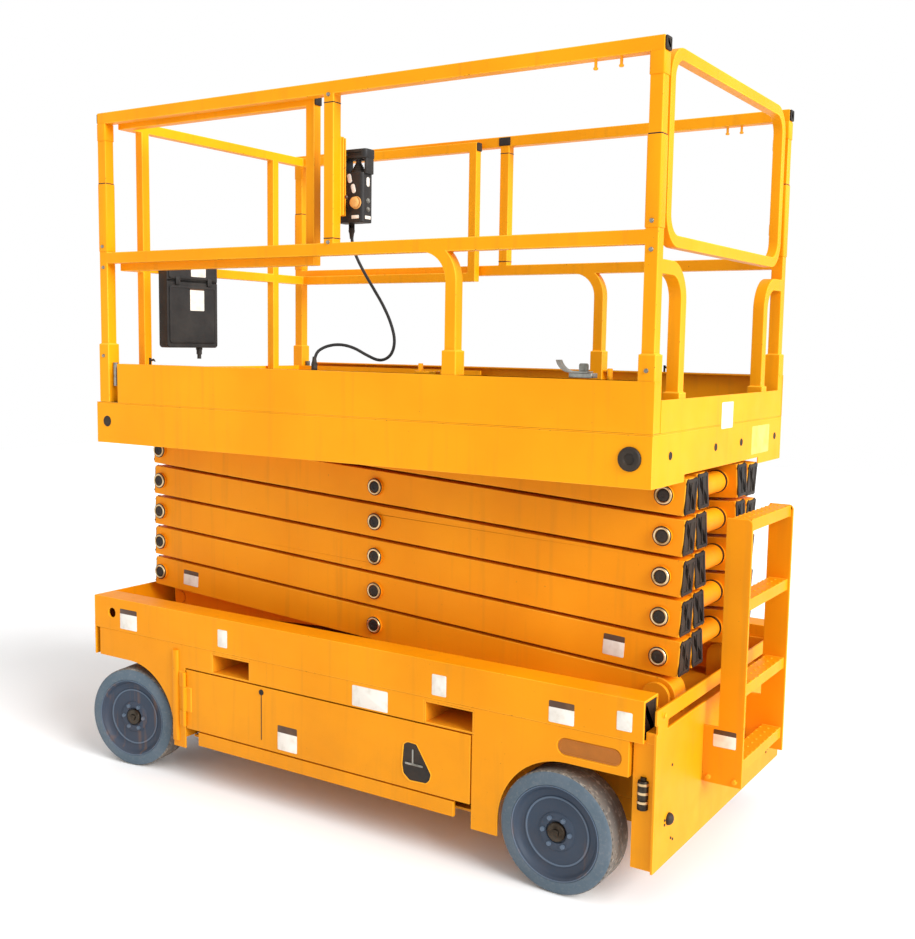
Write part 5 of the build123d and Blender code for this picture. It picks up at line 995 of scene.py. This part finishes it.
class LIFT_OT_deck_fittings(bpy.types.Operator):
    """Buffers and plugs on the deck's sides and ends, a black disc in each blind hole as painted shade, and
    the pedal, hooks and brackets on its toe boards
    """

    bl_idname = "lift.deck_fittings"
    bl_label = "Deck fittings"

    def execute(self, context):
        pieces = []
        for profile, places in (
            (BUFFER, mirrored([(1018, DECK_SIDE_Y, 1328)])),
            (BLIND_HOLE, mirrored([(-1136, DECK_SIDE_Y, 1328)])),
            (SMALL_PLUG, [at(DECK_REAR_X, y, 1332, REAR) for y in (-455, -86, 154, 509)]),
            (SMALL_PLUG, mirrored([(DECK_FRONT_X, 420, 1332)], FRONT)),
        ):
            pieces += copied(turned(profile, 40), places)
        fitted(pieces, "deck_buffers_and_plugs", "platform", *NYLON)

        # pedal: a grey plate rolled up at one end, on a stepped foot
        pedal = block((62, 46, 4), (0, 0, 2), corner=5.0, edge=0.8)
        shape(pedal)
        pick(pedal, lambda middle, way: way.x < -0.9)
        for step in range(1, 7):
            turn = math.radians(11 * step)
            roll = by(-math.cos(turn) * 9, 0, math.sin(turn) * 9)
            bpy.ops.mesh.extrude_region_move(TRANSFORM_OT_translate=roll)
        close()
        foot = block((74, 40, 14), (8, 0, -8), corner=4.0, edge=1.0)
        lug = block((26, 12, 26), (14, -8, 14), corner=6.0, edge=0.8, along=1)
        pedal = moved(joined([pedal, foot, lug]), at(*PEDAL))
        fitted(pedal, "toe_board_pedal", "platform", "grey_steel", "grey_zinc")

        bracket = sink(block((78, 30, 9), (312, -556, 1550.6), corner=3.0, edge=1.0), 4.0, 2.0)
        stubs = copied(turned(STUB, 20), [at(938, -560, TOE_TOP_Z), at(286, -556, TOE_TOP_Z)])
        fitted([bracket] + stubs, "toe_board_brackets", "platform", "yellow_paint", "yellow_enamel")

        hooks = copied(bent_bar(7, 26, 10, 150, 10), [
            at(x, y, TOE_TOP_Z - 0.1) for x, y in ((1032, -556), (-930, -556), (640, 556))
        ])
        fitted(hooks, "toe_board_hooks", "platform", "dark_steel", "blackened_steel")
        return {"FINISHED"}


# outline of the opening round a door's latch, from its middle
LATCH_OUTLINE = (
    (1, 63), (-37, 65), (-54, 54), (-60, -18), (-54, -48), (-28, -68), (39, -65), (54, -51), (60, -28),
    (45, -4),
)
LOCK = ((0, 1.4), (2.2, 1.4), (3.0, 3.0), (8.6, 3.0), (10.2, 2.0), (10.6, 0.1), (0, 0.1))
SCREW = ((0, 2.2), (3.2, 2.2), (4.4, 1.2), (4.4, 0.1), (0, 0.1))
MOTOR = (
    (0, 0), (15, 0), (16.4, 1.4), (16.4, 16), (14.5, 18), (14.5, 30), (16.4, 32), (16.4, 84), (15, 86),
    (9, 87), (9, 96), (0, 96),
)
MOTOR_BAND = ((16.6, -4), (17.6, -3), (17.6, 3), (16.6, 4), (16.6, -4))
STUD = ((0, 2.0), (3.0, 1.8), (5.0, 0.2), (0, 0.2))
# outer faces of the plates at the rear and the front, and the middle of the motors
BACK_PLATE_X, FRONT_PLATE_X, MOTOR_X, MOTOR_Y = 1128.0, -1224.3, 1086.0, 571.0
# places on a door, x and z
SEAM, LOCK_PLACE, LATCH = (-357, 325), (-357, 409), (310, 298)
CHASSIS_BOLTS = (
    mirrored([(1148, 210, 318), (1232, 210, 318)])
    + [at(FRONT_PLATE_X, y, z, FRONT) for y in (-530, -180, 180, 530) for z in (470, 610)]
    + mirrored([(BACK_PLATE_X, 540, 600)], REAR)
)
RUNG_TOPS = (378, 618, 884, 1130)


class LIFT_OT_chassis_fittings(bpy.types.Operator):
    """Arch ribs, locks, seams, knobs, motor and bolts of the chassis"""

    bl_idname = "lift.chassis_fittings"
    bl_label = "Chassis fittings"

    def execute(self, context):
        for side, name, out in SIDES:
            # half-round rib at the back of the front arch
            rib = block((30, 345, 18), edge=0)
            shape(rib, "EDGE")
            pick(rib, lambda middle, way: abs(way.y) > 0.9 and middle.z > 0, "EDGE")
            bpy.ops.mesh.bevel(offset=0.009, offset_type="OFFSET", segments=6, affect="EDGES")
            close()
            moved(break_edges(rib, 1.0), at(-780, side * (SKIRT_Y + 0.6), 324, out))
            fitted(rib, f"arch_rib_{name}", "chassis", "yellow_paint", "chassis_enamel")

            # door: dark seam, lock, and the recessed latch behind its cut-out
            door = f"door_{name}"
            seam = block((3.4, 178, 0.8), (0, 0, 0.3), corner=1.2, edge=0)
            moved(seam, at(SEAM[0], side * SKIRT_Y, SEAM[1], out))
            lock = moved(turned(LOCK, 28), at(LOCK_PLACE[0], side * SKIRT_Y, LOCK_PLACE[1], out))
            fitted([seam, lock], f"door_seam_and_lock_{name}", door, *NYLON)
            clear()
            bpy.ops.mesh.primitive_circle_add(vertices=len(LATCH_OUTLINE), radius=0.05, fill_type="NGON")
            # its rim is in the lighter chassis enamel, a painted highlight
            opening = coated(context.object, "rubbed_chassis_enamel", "black_nylon")
            for vertex, (x, y) in zip(opening.data.vertices, LATCH_OUTLINE):
                vertex.co = (-side * x / 1000, y / 1000, 0)
            shape(opening, "VERT", everything=True)
            bpy.ops.mesh.bevel(offset=0.006, segments=3, affect="VERTICES")
            bpy.ops.mesh.select_mode(type="FACE")
            bpy.ops.mesh.select_all(action="SELECT")
            bpy.ops.mesh.extrude_region_move(TRANSFORM_OT_translate=by(0, 0, 2.2))
            sealed()
            shape(opening)
            pick(opening, lambda middle, way: way.z > 0.9)
            bpy.ops.mesh.inset(thickness=0.003, depth=0.0)
            bpy.ops.mesh.inset(thickness=0.0008, depth=-0.0018)
            second_finish(opening)
            place = at(LATCH[0], side * SKIRT_Y, LATCH[1], out)
            fitted(moved(opening, place), f"latch_opening_{name}", door, "black_plastic", angle=30)
            handle = block((70, 7, 3), (side * 9, -9, 1.8), corner=2.0, edge=0.6)
            upright = block((6, 50, 3), (side * 14, 16, 1.4), corner=2.0, edge=0.6)
            latch = moved(joined([handle, upright]), place)
            fitted(latch, f"door_latch_{name}", door, "dark_steel", "grey_zinc")

            # rear: grey motor behind the wheel, and a dark plate in the chassis rail's open end as painted
            # shade
            body = moved(turned(MOTOR, 32), at(MOTOR_X, side * MOTOR_Y, 322))
            plate = block((58, 6, 92), (0, 0, 46), corner=5.0, edge=0.8, along=1)
            moved(plate, at(MOTOR_X, side * (MOTOR_Y - 5), 322))
            fitted([body, plate], f"end_motor_{name}", "chassis", "grey_steel", "oiled_steel")
            bands = copied(turned(MOTOR_BAND, 32), [at(MOTOR_X, side * MOTOR_Y, z) for z in (345, 372, 398)])
            fitted(bands, f"end_motor_bands_{name}", "chassis", "grey_steel", "passivated_zinc")
            # dark plate in the rail's open end: painted shade of the tube's inside
            rail_end_shade_plate = sink(block((83, 108, 5), corner=5.0, edge=1.0), 9.0, 2.0)
            moved(rail_end_shade_plate, at(1084, side * 540, 582.5, REAR))
            fitted(rail_end_shade_plate, f"rail_end_closer_{name}", "chassis", *NYLON)

        # black knobs and their small screws on the back plate
        knobs = copied(turned(DOME, 40), mirrored([(BACK_PLATE_X, 478, 272)], REAR))
        knobs += copied(turned(SCREW, 16), mirrored([
            (BACK_PLATE_X, y, z) for y, z in ((506, 276), (506, 262), (455, 205), (440, 196), (462, 430))
        ], REAR))
        fitted(knobs, "back_plate_knobs", "chassis", *NYLON)
        # chassis bolts painted over in the lighter chassis enamel, a painted highlight
        bolts = copied(hex_bolt(13.0, 5.5, 9.0), CHASSIS_BOLTS)
        fitted(bolts, "chassis_bolts", "chassis", "dark_steel", "rubbed_chassis_enamel")

        # raised studs that grip a shoe, in three rows on each rung, in the lighter chassis enamel that is a
        # painted highlight
        studs = copied(turned(STUD, 10), [
            at(x, y, z) for z in RUNG_TOPS for x in (1187, 1214, 1241) for y in range(-168, 169, 42)
        ])
        fitted(studs, "rung_studs", "chassis", "yellow_paint", "rubbed_chassis_enamel")
        return {"FINISHED"}


# ---- rails' fittings
RAIL_Y = 558.0
TUBE_FACE = RAIL_Y + 20.0
# corner posts, and the short post between them
POST_XS = (-1150, 1058)
MID_POST_X = -69
# top of the guard rails, less a hair
RAIL_TOP = 2.4698
LATCH_PIN = ((0, 0), (4.4, 0), (4.4, 20), (7, 21), (7, 25), (5, 27), (0, 27))
SLEEVE = ((6, 0), (9.5, 0), (9.5, 34), (8.2, 35), (8.2, 41), (9.5, 42), (9.5, 88), (6, 88), (6, 0))


class LIFT_OT_rail_fittings(bpy.types.Operator):
    """Tube plugs, dark bands, bolts, latch pins and clamps of the guard rails; the band at each corner
    post's socket is a painted shadow line
    """

    bl_idname = "lift.rail_fittings"
    bl_label = "Rail fittings"

    def execute(self, context):
        corners = [(x, RAIL_Y) for x in POST_XS]
        plug = sink(block((37, 37, 5.5), (0, 0, 2.8), corner=5.0, edge=1.4), 6.0, 1.0)
        ends = mirrored([(1078, RAIL_Y, 2450)], REAR) + mirrored([(-1170, RAIL_Y, 2450)], FRONT)
        black = copied(plug, ends)
        # dark band round each corner post just above its socket, a painted shadow line under the step, and a
        # dark joint band round the short posts' feet
        black += copied(block((41.2, 41.2, 3.4), corner=3.4, edge=0.6), mirrored(
            [(x, y, 2214) for x, y in corners] + [(MID_POST_X, RAIL_Y, z) for z in (2404, 1975)], UP
        ))
        # clamp on the far top rail
        clamp = block((52, 46, 34), (MID_POST_X, RAIL_Y, 2450), corner=5.0, edge=1.6, along=0)
        for vertex in clamp.data.vertices:
            vertex.co.z = min(vertex.co.z, RAIL_TOP)
        fitted(black + [clamp], "rail_plugs_and_bands", "platform", *NYLON)

        # sockets that the corner posts' upper halves stand in, and a collar over each
        sockets = []
        for height, middle_z in ((248, 2088), (60, 2399)):
            socket = block((44.6, 44.6, height), corner=5.0, edge=1.4)
            sockets += copied(socket, mirrored([(x, y, middle_z) for x, y in corners], UP))
        fitted(sockets, "corner_post_sockets", "platform", "yellow_paint", "yellow_enamel")

        spots = [(MID_POST_X, TUBE_FACE, z) for z in (1962, 2428)]
        for x in POST_XS:
            spots += [(x, TUBE_FACE, 1905), (x, RAIL_Y + 22.3, 1982), (x, RAIL_Y + 26, 1575)]
        bolts = copied(hex_bolt(10.0, 4.0, 6.5), mirrored(spots))
        fitted(bolts, "rail_bolts", "platform", "dark_steel", "grey_zinc")

        # latch pins under the top rails, in the lighter yellow enamel that is a painted highlight
        pins = copied(turned(LATCH_PIN, 16), [
            at(x, y, 2430, DOWN) for x, y in ((866, -RAIL_Y), (944, -RAIL_Y), (850, RAIL_Y), (902, RAIL_Y))
        ])
        fitted(pins, "rail_latch_pins", "platform", "yellow_paint", "rubbed_yellow_enamel")

        # light sleeve beside the front corner's post
        sleeves = copied(turned(SLEEVE, 24), mirrored([(-1113, RAIL_Y + 2, 1462)], UP))
        fitted(sleeves, "corner_post_sleeves", "platform", "grey_steel", "grey_zinc")

        plug = block((33, 33, 5), (0, 0, 2.4), corner=4.0, edge=1.2)
        plugs = copied(plug, mirrored([(-172, 508, 2432)], REAR))
        fitted(plugs, "extension_rail_plugs", "extension", *NYLON)
        return {"FINISHED"}


# ---- controls and document case
# middle of the control box, its near face, and its side towards the rear
BOX_X, BOX_Y, BOX_FACE_Y, BOX_SIDE_X = -20, -481.5, -509.5, 18
GAITER = (
    (9.4, 32), (11, 31), (10.4, 28), (14, 26), (13.2, 23), (17.4, 20), (16.4, 17), (21, 13), (20, 10),
    (25, 5), (25, 0.2), (9.4, 0.2), (9.4, 32),
)
BUTTON = (
    (0, 17), (9, 17), (14, 15.8), (17, 13.4), (18, 10.6), (17, 8.2), (11, 7.2), (10, 3.2), (19, 2.8),
    (20.4, 1.6), (20.4, 0.1), (0, 0.1),
)
KEY = ((0, 6), (3, 6), (5.4, 5), (6.2, 2), (8.4, 1.6), (8.4, 0.1), (0, 0.1))


class LIFT_OT_controls(bpy.types.Operator):
    """Control box with its guard, rocker plates, button and joystick"""

    bl_idname = "lift.controls"
    bl_label = "Control box"

    def execute(self, context):
        skin("control_box", 2.4, "black_abs", "black_abs", slot="black_plastic")
        # head bar over the joystick, on a leg at each side
        visor = block((98, 54, 30), (BOX_X, BOX_Y, 2249), corner=12.0, edge=3.0)
        sink(visor, 7.0, 4.0, lambda middle, way: way.y < -0.99)
        legs = [block((11, 40, 58), (BOX_X + x, BOX_Y, 2214), corner=4.0, edge=2.0) for x in (-42, 42)]
        fitted([visor] + legs, "joystick_guard", "platform", "black_plastic", "black_abs")
        gaiter = moved(turned(GAITER, 36), at(BOX_X, BOX_Y, 2190))
        fitted(gaiter, "joystick_gaiter", "platform", *NYLON)

        # two white rocker plates, and a blank plate by the button
        plates = copied(block((16, 30, 2.4), corner=7.0, edge=0.7, steps=6), [
            at(-36, BOX_FACE_Y, 2171, NEAR, (-0.25, 0, 1)), at(-20, BOX_FACE_Y, 2138, NEAR, (-0.3, 0, 1)),
            at(BOX_SIDE_X, BOX_Y, 2160, REAR),
        ])
        plates += copied(block((30, 11, 1.4), corner=2.0, edge=0.3), [
            at(-12, BOX_FACE_Y, 2047, NEAR), at(BOX_SIDE_X, BOX_Y, 2046, REAR)
        ])
        fitted(plates, "blank_control_plates", "platform", "grey_steel", "white_vinyl")

        button = moved(turned(BUTTON, 40), at(-8, BOX_FACE_Y, 2092, NEAR))
        fitted(button, "stop_button", "platform", "rod_chrome", "tan_button")
        keys = copied(turned(KEY, 24), [
            at(-50, BOX_FACE_Y, 2112, NEAR), *(at(BOX_SIDE_X, BOX_Y, z, REAR) for z in (2100, 2072))
        ])
        fitted(keys, "switch_knobs", "platform", "dark_steel", "grey_zinc")
        return {"FINISHED"}


CASE_FACE_X, CASE_Y = -1033.7, -235
DRAIN = ((0, 0), (13, 0), (13, 8), (11, 9), (11, 26), (8, 27), (8, 44), (0, 44))


class LIFT_OT_document_case(bpy.types.Operator):
    """Moulded document case with a lid, two catches and a drain stub"""

    bl_idname = "lift.document_case"
    bl_label = "Document case"

    def execute(self, context):
        groove = moved(block((276, 4, 5), edge=0), at(CASE_FACE_X, CASE_Y, 1868, REAR))
        skin("document_case", 4.0, "black_abs", "black_abs", cutter=groove, slot="black_plastic")
        lid = sink(block((256, 62, 5), (0, 0, 2.2), corner=10.0, edge=1.6), 7.0, 1.4)
        moved(lid, at(CASE_FACE_X, CASE_Y, 1907, REAR))
        panel = sink(block((250, 224, 4), (0, 0, 1.8), corner=12.0, edge=1.4), 8.0, 1.4)
        moved(panel, at(CASE_FACE_X, CASE_Y, 1738, REAR))
        catches = copied(block((22, 30, 7), (0, 0, 5), corner=3.0, edge=1.2), [
            at(CASE_FACE_X, CASE_Y + way * 85, 1868, REAR) for way in (-1, 1)
        ])
        drain = moved(turned(DRAIN, 24), at(-1058, -180, 1608, DOWN))
        pieces = [lid, panel, *catches, drain]
        fitted(pieces, "case_lid_and_catches", "extension", "black_plastic", "black_abs")
        return {"FINISHED"}


# ---- panel
OPERATORS = (
    LIFT_OT_studio, LIFT_OT_control_cable, LIFT_OT_painted_steel, LIFT_OT_side_skirts, LIFT_OT_wheels,
    LIFT_OT_stack, LIFT_OT_labels, LIFT_OT_deck_fittings, LIFT_OT_chassis_fittings, LIFT_OT_rail_fittings,
    LIFT_OT_controls, LIFT_OT_document_case,
)


class LIFT_PT_pieces(bpy.types.Panel):
    """The lift's pieces, in the order that they are made"""

    bl_label = "Scissor lift"
    bl_idname = "LIFT_PT_pieces"
    bl_space_type = "VIEW_3D"
    bl_region_type = "UI"
    bl_category = "Scissor lift"

    def draw(self, context):
        column = self.layout.column()
        for group in (context.scene.lift_sizes, context.scene.lift_colours):
            for key in group.__annotations__:
                column.prop(group, key)
        for operator in OPERATORS:
            column.operator(operator.bl_idname)


def register():
    for group in (LiftSizes, LiftColours, *OPERATORS, LIFT_PT_pieces):
        bpy.utils.register_class(group)
    bpy.types.Scene.lift_sizes = bpy.props.PointerProperty(type=LiftSizes)
    bpy.types.Scene.lift_colours = bpy.props.PointerProperty(type=LiftColours)


def unregister():
    del bpy.types.Scene.lift_colours
    del bpy.types.Scene.lift_sizes
    for group in (LIFT_PT_pieces, *reversed(OPERATORS), LiftColours, LiftSizes):
        bpy.utils.unregister_class(group)


def main():
    """Makes every piece."""
    register()
    for operator in OPERATORS:
        group, name = operator.bl_idname.split(".")
        getattr(getattr(bpy.ops, group), name)()


if __name__ == "__main__":
    main()
